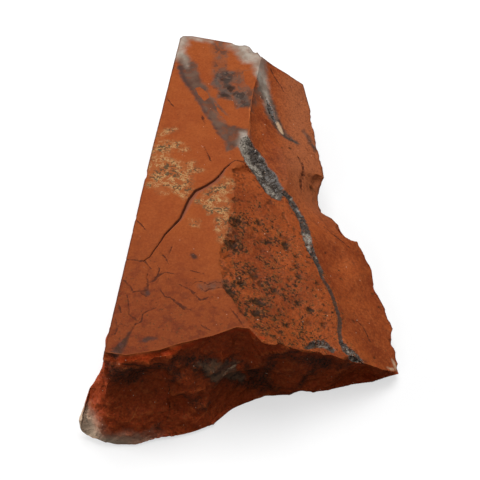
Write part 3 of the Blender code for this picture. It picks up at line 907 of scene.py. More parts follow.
    big_pits: tuple[tuple[float, float, float], ...] = (
        (-0.8, -8.8, 1.1), (3.1, -7.2, 0.8), (4.5, -11.3, 0.8), (8, -10.8, 1), (-1.8, -14.4, 1.5),
        (1.9, -20.5, 1.5), (-0.4, -23.2, 1), (-2, -26.4, 1.2), (2.9, -26.8, 1.6), (2.4, -29.4, 1.3),
        (5.8, -23.1, 0.9), (8, -10.7, 0.9), (9.8, -13.2, 0.8), (10.2, -15.8, 0.9), (10.3, -18.4, 0.8),
        (12.6, -12.6, 0.6), (13.6, -19, 0.7), (12, -25.3, 0.8), (14.4, -27.8, 0.7), (9.8, -24.4, 0.8),
        (7.8, -30.2, 0.8), (18.1, -12.1, 0.4), (18.3, -14.4, 0.4), (24.6, -14.9, 0.4), (25.7, -18, 0.5),
        (20.3, -24.1, 0.5), (27.2, -25, 0.5), (23.8, -30.6, 0.4), (15.6, -9.3, 0.4), (9.6, 16, 0.5),
        (8, 15, 0.4), (-2.2, 27.9, 1), (-4.2, 30.8, 0.5), (-4.6, 26.4, 0.4), (13.6, 8.8, 0.6),
        (-1.6, 26, 0.4), (2.6, 17, 0.4),
    )


@dataclass(frozen=True)
class Octave:
    """One size of the fracture's own relief."""

    wavelength: float
    height: float
    folded: bool = False

    def at(self, points: Array, noise: Noise) -> Array:
        """The noise, or where folded twice a third less its size, which leaves sharp crests."""
        value = noise.at(points, self.wavelength, 2.7 if self.folded else 0.0)
        return self.height * ((0.33 - np.abs(value)) * 2.0 if self.folded else value)


@dataclass
class Crystals:
    """A bed of small blunt crystals."""

    pitch: float = 0.85
    height: float = 0.7
    slope: float = 1.1
    seed: int = 5

    def over(self, flat: Array) -> tuple[Array, Array]:
        """Grows the crystals over points on a plane.

        Args:
            flat: Points in millimetres, one row each.

        Returns:
            The height at each point, and a random number from 0 to 1 for the crystal that stands there. A
            crystal is a six-sided pyramid: its own height less a slope times the largest of the offsets
            along six turned directions. The tallest at a point wins.
        """
        rng = np.random.default_rng(self.seed)
        low, high = flat.min(axis=0), flat.max(axis=0)
        count = int(np.prod(np.maximum(high - low, self.pitch)) / self.pitch**2)
        centres = rng.uniform(low, high, (count, 2))
        heights = rng.uniform(0.35, 1.0, count) * self.height
        turns = rng.uniform(0.0, math.pi / 3, count)
        slopes = rng.uniform(0.6, 1.4, count) * self.slope
        best = np.full(len(flat), -np.inf)
        owner = np.zeros(len(flat))
        shades = rng.uniform(0.0, 1.0, count)
        for index in range(count):
            off = flat - centres[index]
            angles = turns[index] + np.arange(6) * math.pi / 3
            reach = (off @ np.stack([np.cos(angles), np.sin(angles)])).max(axis=1)
            value = heights[index] - slopes[index] * reach
            taller = value > best
            best = np.where(taller, value, best)
            owner = np.where(taller, shades[index], owner)
        return np.maximum(best, -0.3), owner


@dataclass
class Skin:
    """The stone's skin in full detail: its points, its faces and the traits that the finish reads.

    Each row of sinks names a line, its depth, and how far inside its border it starts and ends to sink.
    """

    lattice: Lattice = field(default_factory=Lattice)
    marks: Marks = field(default_factory=Marks)
    noise: Noise = Noise()
    sawn_share: float = 0.04
    broad: tuple[Octave, ...] = (Octave(11.0, 0.55), Octave(5.0, 0.28))
    broken: tuple[Octave, ...] = (
        Octave(3.1, 0.30, True), Octave(1.7, 0.19), Octave(1.1, 0.13, True), Octave(0.6, 0.06),
    )
    slope: tuple[Octave, ...] = (Octave(3.4, 0.04, True), Octave(1.5, 0.03), Octave(0.7, 0.018))
    pitted: tuple[Octave, ...] = (Octave(1.9, 0.10), Octave(1.0, 0.08, True), Octave(0.55, 0.06))
    sawn_grain: tuple[Octave, ...] = (Octave(2.6, 0.025), Octave(0.9, 0.012))
    plain_marks: tuple[str, ...] = (
        "purple", "purple_edge", "breccia", "grey", "dark", "olive", "strip", "blots", "white", "milk",
        "cream", "vein", "pale_crystals", "ochre", "clasts",
    )
    sinks: tuple[tuple[str, float, float, float], ...] = (
        ("fissure", 0.38, -0.12, 0.20),
        ("bevel", 0.30, -0.05, 0.9),
        ("crack", 0.12, -0.14, 0.12),
        ("seam", 0.15, -0.14, 0.2),
    )
    bevel_width: float = 1.2
    bevel_run: tuple[float, ...] = (0.0, 0.12, 0.25, 0.5, 0.75, 1.0)
    bevel_share: tuple[float, ...] = (0.0, 0.1, 0.9, 1.0, 0.4, 0.0)
    gash_depth: float = 0.85
    vein_depth: float = 0.38
    crystal_share: float = 0.75
    height: float = 18.0
    top_spare: float = 0.4
    top_fade: float = 1.6
    near_fade: float = 70.0
    left_fade: float = 50.0
    # The width of the painted shade line along the rims.
    rim_shade_width: float = 0.6
    cluster_reach: float = 1.1
    shoulder_run: tuple[float, ...] = (-23.3, -19.0, -14.0, -11.3, -10.5, 0.0)
    shoulder_out: tuple[float, ...] = (0.35, 0.5, 0.9, 1.3, 0.0, 0.0)
    shoulder_drop: tuple[float, ...] = (0.059, 0.059, 0.088, 0.118, 0.118, 0.118)
    flakes: tuple[Scoop, ...] = (
        Scoop((14.8, 10.4, 9.3), (0.5, -0.5, 0.7), 2.0, 0.32),
        Scoop((14.6, 7.0, 8.0), (0.9, -0.1, 0.5), 3.2, 0.5),
        Scoop((-14.8, -43.6, 2.4), (0.0, -1.0, 0.1), 1.2, 0.5),
        Scoop((-6.0, -38.4, 13.0), (0.1, -1.0, 0.1), 5.0, 0.35),
    )
    flake_seed: int = 17
    flake_sizes: Point = (1.2, 4.2)
    scar_seed: int = 23
    scars: int = 130
    scar_radii: Point = (2.5, 8.0)
    scar_depths: Point = (0.15, 0.5)
    pit_seed: int = 41
    pits: int = 420
    pit_run: Point = (0.03, 0.56)
    pit_radii: Place = (2.0, 0.07, 0.17)
    pit_depths: Point = (0.45, 0.4)
    horn_reach: float = 2.6
    crease: float = 36.0
    form: StoneForm = field(init=False)
    triangles: Array = field(init=False)
    u: Array = field(init=False)
    v: Array = field(init=False)
    w: Array = field(init=False)
    points: Array = field(init=False)
    on_top: Array = field(init=False)
    left_part: Array = field(init=False)
    sawn: Array = field(init=False)
    resting: Array = field(init=False)
    traits: dict[str, Array] = field(init=False)

    def __post_init__(self) -> None:
        """Works the whole skin out."""
        self.form = StoneForm(self.lattice.splits)
        self.triangles = self.lattice.triangles()
        self.u, self.v, self.w = self.lattice.unit.T
        self.points = self.form.skin(self.lattice.unit)
        self.on_top = self.w > ON_TOP
        self.resting = (self.w < 1.0 - ON_TOP) & (self.form.rest_distance(self.points) < 1.0)
        self.left_part = self.u < self.lattice.splits[0] + 0.001
        self.sawn = self.on_top & self.left_part
        for chip in self.form.chips:
            spared = self.resting | (self.sawn if chip.way[2] > 0.5 else self.on_top)
            chip.carve(self.points, ~spared)
        self._push_shoulder()
        self._lift(self._broad_relief())
        self._scar_sides()
        self._flake_edges()
        self.traits = {}
        self._read_marks()
        self._lift(self._fine_relief())
        self._sink_marks()
        self.points[:, 2] = np.maximum(self.points[:, 2], 0.0)
        self.traits["edge"] = self._crest()

    def _push_shoulder(self) -> None:
        """Pushes out the shoulder under the sawn face's near edge.

        Its size at each x comes from a table. Down the near side it grows straight until the shoulder's own
        depth, and then dies away smoothly towards the foot. It fades with the distance from the near side.
        """
        size = np.interp(self.points[:, 0], self.shoulder_run, self.shoulder_out)
        depth = np.interp(self.points[:, 0], self.shoulder_run, self.shoulder_drop)
        down = 1.0 - self.w
        profile = np.where(down < depth, down / depth, 1.0 - smooth_step(down, depth, 0.62))
        profile = np.where(down > ON_TOP, 0.0, profile) * np.clip(1.0 - self.v / 0.03, 0.0, 1.0)
        self.points[:, 1] -= size * profile

    def _lift(self, heights: Array) -> None:
        """Moves each point out along its normal by a height."""
        heights = np.where(self.resting, 0.0, heights)
        self.points = self.points + heights[:, None] * normals_of(self.points, self.triangles)

    def _below_saw(self, reach: float) -> Array:
        """Rises from 0 at the straight edges to 1 at a share of the height below them; 1 elsewhere."""
        straight = self.left_part | (~self.on_top & (self.points[:, 1] > 12.0))
        return np.where(straight, smooth_step(1.0 - self.w, 0.0, reach), 1.0)

    def _broad_relief(self) -> Array:
        """The sum of the broad octaves, nearly nothing on the sawn face."""
        share = self.sawn_share + (1.0 - self.sawn_share) * self._below_saw(0.25)
        return share * sum(octave.at(self.points, self.noise) for octave in self.broad)

    def _scar_sides(self) -> None:
        """Presses shallow scars at random into the broken sides, each along its own tilted normal."""
        rng = np.random.default_rng(self.scar_seed)
        sides = np.flatnonzero((self.w > 0.08) & (self.w < 0.92))
        movable = (self.w > 0.01) & (self.w < 0.98)
        normals = normals_of(self.points, self.triangles)
        for index in rng.choice(sides, self.scars, replace=False):
            tilted = normals[index] + rng.normal(0.0, 0.22, 3)
            radius = rng.uniform(*self.scar_radii)
            depth = rng.uniform(*self.scar_depths)
            Scoop(tuple(self.points[index]), tuple(tilted), radius, depth).carve(self.points, movable)

    def _flake_edges(self) -> None:
        """Knocks small flakes off the edges.

        Each flake is a ball at a random share of a crease or rim, pressed in from outside the stone.
        """
        rng = np.random.default_rng(self.flake_seed)
        form = self.form
        edges = (
            (form.near_rim, 0, 18, 0.12, (0.0, -1.0, 0.5)),
            (form.right_rim, 1, 30, 0.30, (1.0, 0.0, 0.5)),
            (form.saw_edge, 1, 8, 0.05, (-1.0, 0.0, 0.8)),
            (form.ridge, 1, 14, 0.12, (0.5, 0.0, 1.0)),
            (form.far_rim, 0, 6, 0.03, (0.0, 1.0, 0.8)),
            (form.near_foot, 0, 10, 0.06, (0.0, -1.0, -0.4)),
            (form.left_foot, 1, 16, 0.12, (-1.0, 0.0, -0.3)),
            (form.right_foot, 1, 18, 0.25, (1.0, 0.0, -0.3)),
            (form.far_foot, 0, 8, 0.15, (0.0, 1.0, -0.3)),
        )
        free = ~self.resting
        tip = np.array(form.ridge[0][:2])
        horn = np.hypot(*(self.points[:, :2] - tip).T) < self.horn_reach
        for curve, axis, count, depth, way in edges:
            movable = free & ~self.sawn & ~horn if curve is form.near_rim else free & ~horn
            corners = np.array(curve)
            places = rng.uniform(corners[0, axis], corners[-1, axis], count)
            spots = np.stack([np.interp(places, corners[:, axis], corners[:, k]) for k in range(3)], axis=1)
            ways = np.array(way) + rng.normal(0.0, 0.25, (count, 3))
            sizes = rng.uniform(*self.flake_sizes, count)
            depths = depth * rng.uniform(0.3, 1.0, count)
            if curve is form.right_rim:
                depths *= np.interp(spots[:, 1], (2.0, 9.0), (1.0, 0.25))
            for spot, out, size, deep in zip(spots, ways, sizes, depths):
                Scoop(tuple(spot), tuple(out), size, deep).carve(self.points, movable)
        for flake in self.flakes:
            flake.carve(self.points, free)

    def _penalty(self, side: Side) -> Array:
        """Works out how much a mark shrinks past the rim of its own side.

        Args:
            side: The mark's side.

        Returns:
            Millimetres for each point, in step with its distance past that rim.
        """
        if side is Side.TOP:
            return self.top_fade * np.maximum(0.0, (1.0 - self.w) * self.height - self.top_spare)
        return self.near_fade * self.v if side is Side.NEAR else self.left_fade * self.u

    def _depth(self, marks: tuple[Mark, ...]) -> Array:
        """Measures the points against marks.

        Args:
            marks: The marks.

        Returns:
            How far inside any of the marks each point is, and no more than the reach of a mark either way.
        """
        best = np.full(len(self.points), -MARK_REACH)
        for mark in marks:
            depth = mark.depth_in(self.points)
            if not isinstance(mark, Ball):
                depth = depth - self._penalty(mark.side)
            best = np.maximum(best, depth)
        return np.minimum(best, MARK_REACH)

    def _read_marks(self) -> None:
        """Stores each mark's depth as a trait."""
        marks = self.marks
        for name in self.plain_marks:
            self.traits[name] = self._depth(getattr(marks, name))
        names = ("crack", "fissure", "seam", "scar")
        for name, paths in zip(names, (marks.cracks, (marks.fissure,), marks.seams, marks.scars)):
            self._read_lines(name, paths)
        self.traits["druse"] = self._depth((marks.druse,))
        gap, place = to_path(self.points[:, :2], marks.fissure.corners)
        reach = self.bevel_width * np.interp(place, self.bevel_run, self.bevel_share)
        bevel = np.where(gap < 0.0, reach + gap, -gap) - self._penalty(Side.TOP)
        self.traits["bevel"] = np.clip(bevel, -MARK_REACH, MARK_REACH)
        self.traits["sawn"] = self.sawn.astype(float)
        # Painted shade: a thin dark line along the saw edge, the far rim and the right rim.
        curves = (self.form.saw_edge, self.form.far_rim, self.form.right_rim)
        widths = (self.rim_shade_width,) * 3
        rims = tuple(Path(TOP, tuple((x, y) for x, y, _ in curve), widths) for curve in curves)
        self.traits["rim"] = self._depth(rims)
        self.traits["side"] = 1.0 - smooth_step(self.w, 0.96, ON_TOP)
        slope_start, slope_end = self.lattice.splits
        across = (self.u - slope_start) / (slope_end - slope_start)
        on_slope = self.on_top & (across > 0.0) & (across < 1.15)
        near_end = smooth_step(-self.points[:, 1], -6.0, 10.0)
        fade = 1.0 - 0.55 * smooth_step(across, 0.35, 1.0)
        self.traits["pitted"] = on_slope * near_end * fade
        cluster = np.zeros(len(self.points))
        for x, y, radius in marks.big_pits:
            square = (self.points[:, 0] - x) ** 2 + (self.points[:, 1] - y) ** 2
            cluster = np.maximum(cluster, np.exp(-square / (self.cluster_reach * radius) ** 2))
        self.traits["cluster"] = cluster * self.on_top

    def _read_lines(self, name: str, paths: tuple[Path, ...]) -> None:
        """Stores where thin lines run.

        Args:
            name: The start of the three traits' names: "_gap" is the signed distance to the nearest line,
                "_half" half that line's width there, and "_far" the plain distance.
            paths: The lines.
        """
        gap = np.full(len(self.points), MARK_REACH)
        half = np.zeros(len(self.points))
        far = gap.copy()
        for path in paths:
            signed, place = to_path(self.points[:, list(path.side.value)], path.corners)
            reach = np.abs(signed) + self._penalty(path.side)
            nearer = reach < far
            gap = np.where(nearer, signed, gap)
            half = np.where(nearer, 0.5 * np.interp(place, path.shares, path.widths), half)
            far = np.where(nearer, reach, far)
        self.traits[name + "_gap"] = np.clip(gap, -MARK_REACH, MARK_REACH)
        self.traits[name + "_half"] = half
        self.traits[name + "_far"] = far

    def _fine_relief(self) -> Array:
        """Works out the fine relief.

        Returns:
            The height at each point: the sum of the octaves of its own kind of face, less near the foot.
        """
        on_slope = self.on_top & ~self.sawn
        kinds = (
            (self.sawn.astype(float), self.sawn_grain),
            (on_slope * (1.0 - self.traits["pitted"]), self.slope),
            (self.traits["pitted"], self.pitted),
            (~self.on_top * self._below_saw(0.10), self.broken),
        )
        total = np.zeros(len(self.points))
        for share, octaves in kinds:
            total += share * sum(octave.at(self.points, self.noise) for octave in octaves)
        return total * (0.25 + 0.75 * smooth_step(self.w, 0.0, 0.15))

    def _sink_marks(self) -> None:
        """Sinks the pits, cracks, fissure, veins and crystal hollow, and grows the crystals.

        Each line sinks by its own depth, smoothly from one distance inside its border to another.
        """
        traits = self.traits
        lines = ("fissure", "crack", "seam")
        inside = {name: traits[name + "_half"] - traits[name + "_far"] for name in lines}
        inside["bevel"] = traits["bevel"]
        drop = np.zeros(len(self.points))
        for name, depth, low, high in self.sinks:
            drop += depth * smooth_step(inside[name], low, high)
        hollow = smooth_step(traits["druse"], -0.2, 1.1)
        vein = smooth_step(traits["vein"], -0.15, 0.5)
        bed = np.maximum(hollow, vein)
        chosen = np.flatnonzero(bed > 0.0)
        grown = np.zeros(len(bed))
        traits["shade"] = np.full(len(bed), 0.5)
        grown[chosen], traits["shade"][chosen] = Crystals().over(self.points[chosen, :2])
        drop += self.gash_depth * hollow + self.vein_depth * vein - bed * grown * self.crystal_share
        drop += self._pits()
        self._lift(-drop)

    def _pits(self) -> Array:
        """Works out how deep the pits are at each point.

        Returns:
            The depth, and in the trait "pit" its share of a full pit. A pit is a bowl: its depth times
            1 - (d / r)^2 within its radius r, with r itself made uneven by noise.
        """
        rng = np.random.default_rng(self.pit_seed)
        start, end = self.lattice.splits
        count = self.pits
        across = rng.uniform(0.0, 1.0, count) ** 1.5
        away = rng.uniform(*self.pit_run, count)
        spots = self.form.upper(start + across * (end - start), away)[:, :2]
        shape, scale, least = self.pit_radii
        radii = rng.gamma(shape, scale, count) + least
        placed = np.array(self.marks.big_pits)
        spots = np.concatenate([placed[:, :2], spots])
        radii = np.concatenate([0.85 * placed[:, 2], radii])
        deeps = np.minimum(self.pit_depths[0] * radii, self.pit_depths[1])
        flat = self.points[:, :2]
        uneven = 1.0 + 0.7 * self.noise.at(self.points, 0.7, 1.3)
        drop = np.zeros(len(flat))
        share = np.zeros(len(flat))
        top = np.flatnonzero(self.on_top)
        for spot, radius, deep in zip(spots, radii, deeps):
            off = flat[top] - spot
            square = np.einsum("ij,ij->i", off, off) / (radius * uneven[top]) ** 2
            bowl = np.maximum(0.0, 1.0 - square)
            drop[top] = np.maximum(drop[top], deep * bowl)
            share[top] = np.maximum(share[top], bowl)
        self.traits["pit"] = share
        return drop

    def _crest(self) -> Array:
        """Finds the sharp outward edges.

        Returns:
            How far each point stands out from the mean of its neighbours along its normal, over the mean
            length of its edges.
        """
        normals = normals_of(self.points, self.triangles)
        starts = np.concatenate([self.triangles[:, k] for k in range(3)])
        ends = np.concatenate([self.triangles[:, (k + 1) % 3] for k in range(3)])
        off = self.points[ends] - self.points[starts]
        rise = -np.einsum("ij,ij->i", off, normals[starts])
        length = np.linalg.norm(off, axis=1)
        total = np.bincount(starts, rise, minlength=len(self.points))
        return total / np.maximum(np.bincount(starts, length, minlength=len(self.points)), 1e-9)

    def to_mesh(self, name: str, shift: Place) -> bpy.types.Mesh:
        """Writes the skin to a mesh.

        Args:
            name: The mesh's name.
            shift: How far the points move, in millimetres.

        Returns:
            The mesh, in metres, with every trait as a number at each point.
        """
        mesh = bpy.data.meshes.new(name)
        faces = self.triangles
        mesh.vertices.add(len(self.points))
        mesh.vertices.foreach_set("co", ((self.points + np.array(shift)) * MM).ravel())
        mesh.loops.add(faces.size)
        mesh.loops.foreach_set("vertex_index", faces.ravel().astype(np.int32))
        mesh.polygons.add(len(faces))
        mesh.polygons.foreach_set("loop_start", np.arange(0, faces.size, 3, dtype=np.int32))
        mesh.update(calc_edges=True)
        mesh.validate()
        for trait, values in self.traits.items():
            layer = mesh.attributes.new(trait, "FLOAT", "POINT")
            layer.data.foreach_set("value", values.astype(np.float32))
        mesh.polygons.foreach_set("use_smooth", np.ones(len(faces), dtype=bool))
        mesh.set_sharp_from_angle(angle=math.radians(self.crease))
        return mesh


Socket = bpy.types.NodeSocket
Source = Socket | float | tuple


def shown(red: float, green: float, blue: float, light: float = 1.0) -> Colour:
    """Turns a colour as a screen shows it, from 0 to 255, into the share of light that the stone gives back.

    Args:
        red: The screen's red.
        green: The screen's green.
        blue: The screen's blue.
        light: How brightly the spot is lit, where 1 shows the colour as it is.

    Returns:
        Each channel by the standard curve, ((c + 0.055) / 1.055)^2.4, over the light.
    """
    shares = [channel / 255.0 for channel in (red, green, blue)]
    curved = [share / 12.92 if share < 0.04045 else ((share + 0.055) / 1.055) ** 2.4 for share in shares]
    return tuple(share / light for share in curved)


@dataclass
class Nodes:
    """Adds nodes to a tree and joins them."""

    tree: bpy.types.NodeTree

    def feed(self, socket: Socket, source: Source) -> None:
        """Fills a socket.

        Args:
            socket: The socket.
            source: Another socket to join it to, or its number or colour.
        """
        if isinstance(source, bpy.types.NodeSocket):
            self.tree.links.new(source, socket)
        elif isinstance(source, tuple) and socket.type == "RGBA":
            socket.default_value = (*source, 1.0)
        else:
            socket.default_value = source

    def make(self, kind: str, inputs: dict | tuple = (), **settings: object) -> bpy.types.Node:
        """Adds a node.

        Args:
            kind: The node's type.
            inputs: What goes into it, by name or place, or in the order of its sockets.
            settings: The node's settings by name.

        Returns:
            The node.
        """
        node = self.tree.nodes.new(kind)
        for name, value in settings.items():
            setattr(node, name, value)
        pairs = inputs.items() if isinstance(inputs, dict) else enumerate(inputs)
        for key, source in pairs:
            self.feed(node.inputs[key], source)
        return node

    def trait(self, name: str) -> Socket:
        """Reads one of the mesh's traits."""
        return self.make("ShaderNodeAttribute", attribute_name=name).outputs["Fac"]

    def maths(self, operation: str, *sources: Source, clamp: bool = False) -> Socket:
        """Does one sum on numbers."""
        return self.make("ShaderNodeMath", sources, operation=operation, use_clamp=clamp).outputs["Value"]

    def times(self, first: Source, *factors: Source) -> Socket:
        """Multiplies numbers.

        Args:
            first: The first number.
            factors: The others, taken one after another.

        Returns:
            The product.
        """
        for factor in factors:
            first = self.maths("MULTIPLY", first, factor)
        return first

    def step(self, value: Source, low: Source, high: Source, to: Point = (0.0, 1.0)) -> Socket:
        """Rises smoothly from one number to another as the value goes from low to high."""
        inputs = {"Value": value, "From Min": low, "From Max": high, "To Min": to[0], "To Max": to[1]}
        return self.make("ShaderNodeMapRange", inputs, interpolation_type="SMOOTHSTEP").outputs["Result"]

    def scatter(self, place: Source, scale: Source, detail: float = 2.0) -> bpy.types.Node:
        """Noise with so many lumps to a millimetre."""
        return self.make("ShaderNodeTexNoise", {"Vector": place, "Scale": scale, "Detail": detail})

    def cells(self, place: Source, size: float) -> bpy.types.Node:
        """Cells of the given size in millimetres."""
        return self.make("ShaderNodeTexVoronoi", {"Vector": place, "Scale": 1.0 / size})

    def bent(self, place: Source, scale: float, detail: float, pull: float) -> Socket:
        """Shifts a place by the colour of noise times a pull."""
        sources = (self.scatter(place, scale, detail).outputs["Color"], (pull,) * 3, place)
        return self.make("ShaderNodeVectorMath", sources, operation="MULTIPLY_ADD").outputs["Vector"]

    def blend(self, share: Source, first: Source, second: Source) -> Socket:
        """Mixes two colours by a share from 0 to 1, at the places that the mix node keeps for colours."""
        return self.make("ShaderNodeMix", {0: share, 6: first, 7: second}, data_type="RGBA").outputs[2]

    def bump(self, distance: float, strength: Source, height: Source, under: Source = None) -> Socket:
        """Raises the surface, and where a normal is given it does so over that one.

        Args:
            distance: The height of a full rise, in metres.
            strength: The share of it that shows.
            height: The relief from 0 to 1.
            under: The normal of the relief below, or nothing.

        Returns:
            The normal.
        """
        inputs = {"Distance": distance, "Strength": strength, "Height": height}
        if under is not None:
            inputs["Normal"] = under
        return self.make("ShaderNodeBump", inputs).outputs["Normal"]

    def group(self, tree: bpy.types.NodeTree, **sources: Source) -> Socket:
        """Uses a node group and gives back its first output."""
        return self.make("ShaderNodeGroup", sources, node_tree=tree).outputs[0]


def new_group(name: str, *numbers: str) -> tuple[Nodes, dict[str, Socket], Socket]:
    """Starts a node group that turns a place and some numbers into a mask.

    Args:
        name: The group's name.
        numbers: The names of the numbers that it takes.

    Returns:
        The group's node maker, what its inputs bring by name, and the socket that its mask goes to.
    """
    tree = bpy.data.node_groups.new(name, "ShaderNodeTree")
    tree.interface.new_socket("Place", in_out="INPUT", socket_type="NodeSocketVector")
    for label in numbers:
        tree.interface.new_socket(label, in_out="INPUT", socket_type="NodeSocketFloat")
    tree.interface.new_socket("Mask", in_out="OUTPUT", socket_type="NodeSocketFloat")
    nodes = Nodes(tree)
    given = nodes.make("NodeGroupInput").outputs
    given = {label: given[label] for label in ("Place", *numbers)}
    return nodes, given, nodes.make("NodeGroupOutput").inputs["Mask"]


def ragged_group() -> bpy.types.NodeTree:
    """Makes the group that turns a depth into a mask with an uneven border.

    Returns:
        The group: the depth plus noise times the reach, risen smoothly over the softness on either side
        of zero.
    """
    nodes, given, mask = new_group("ragged border", "Depth", "Fineness", "Reach", "Softness")
    noise = nodes.scatter(given["Place"], given["Fineness"], 3.0).outputs["Fac"]
    shift = nodes.times(nodes.maths("SUBTRACT", noise, 0.5), given["Reach"])
    moved = nodes.maths("ADD", shift, given["Depth"])
    nodes.feed(mask, nodes.step(moved, nodes.times(given["Softness"], -1.0), given["Softness"]))
    return nodes.tree


def fleck_group() -> bpy.types.NodeTree:
    """Makes the group of small ragged flecks.

    Returns:
        The group: where noise of the given fineness rises above a level that falls as the density grows.
    """
    nodes, given, mask = new_group("flecks", "Fineness", "Density")
    noise = nodes.scatter(given["Place"], given["Fineness"], 4.0).outputs["Fac"]
    raised = nodes.maths("MULTIPLY_ADD", given["Density"], 0.24, noise)
    nodes.feed(mask, nodes.step(raised, 0.70, 0.78))
    return nodes.tree


def thread_group() -> bpy.types.NodeTree:
    """Makes the group of a mossy net of threads.

    Returns:
        The group: thin lines along the borders of cells whose places are bent by noise.
    """
    nodes, given, mask = new_group("mossy threads", "Fineness", "Width")
    moved = nodes.bent(given["Place"], 1.1, 3.0, 1.6)
    sources = {"Vector": moved, "Scale": given["Fineness"]}
    net = nodes.make("ShaderNodeTexVoronoi", sources, feature="DISTANCE_TO_EDGE").outputs["Distance"]
    nodes.feed(mask, nodes.step(net, 0.0, given["Width"], (1.0, 0.0)))
    return nodes.tree


@dataclass(frozen=True)
class JasperFinish:
    """The stone's colours, by what they belong to, and how its faces catch the light."""

    light: float = 1.18
    sawn: Colour = (144, 70, 28)
    sawn_deep: Colour = (134, 60, 24)
    sawn_pale: Colour = (156, 82, 38)
    sawn_near: Colour = (117, 53, 23)
    broken: Colour = (151, 70, 28)
    broken_deep: Colour = (120, 49, 19)
    # also the painted highlight on sharp crests
    broken_bright_and_highlight: Colour = (176, 90, 42)
    fresh: Colour = (152, 56, 22)
    # painted highlight: a brighter red for the lit band under the near rim
    strip: Colour = (164, 56, 18)
    rust: Colour = (98, 40, 20)
    dusty: Colour = (160, 94, 60)
    purple: Colour = (79, 53, 42)
    purple_grey: Colour = (99, 74, 61)
    purple_deep: Colour = (66, 46, 42)
    grey: Colour = (86, 72, 64)
    grey_deep: Colour = (56, 46, 41)
    dark: Colour = (50, 36, 28)
    olive: Colour = (112, 86, 66)
    white: Colour = (166, 156, 143)
    white_deep: Colour = (134, 118, 104)
    milk: Colour = (200, 174, 148)
    cream: Colour = (186, 156, 126)
    crystal: Colour = (88, 78, 70)
    crystal_deep: Colour = (54, 45, 39)
    crystal_pale: Colour = (156, 146, 133)
    ochre: Colour = (172, 136, 90)
    ochre_deep: Colour = (76, 62, 42)
    fleck: Colour = (98, 46, 24)
    fleck_olive: Colour = (96, 64, 33)
    fleck_deep: Colour = (49, 31, 17)
    fleck_pale: Colour = (182, 100, 52)
    # painted highlight: the colour of the tiny painted glints
    painted_glint: Colour = (214, 184, 160)
    # also the colour of the painted shade line along the rims
    crack: Colour = (80, 38, 21)
    bevel: Colour = (126, 72, 52)
    roughness: Point = (0.46, 0.62)
    milky_gloss: Point = (-0.14, 0.35)
    glassy_gloss: Point = (-0.22, 0.3)
    uneven_gloss: Point = (0.6, 0.16)
    coat_roughness: float = 0.25
    specular: float = 0.08

    def colour(self, name: str) -> Colour:
        """One of the colours as the share of light that it gives back."""
        return shown(*getattr(self, name), light=self.light)


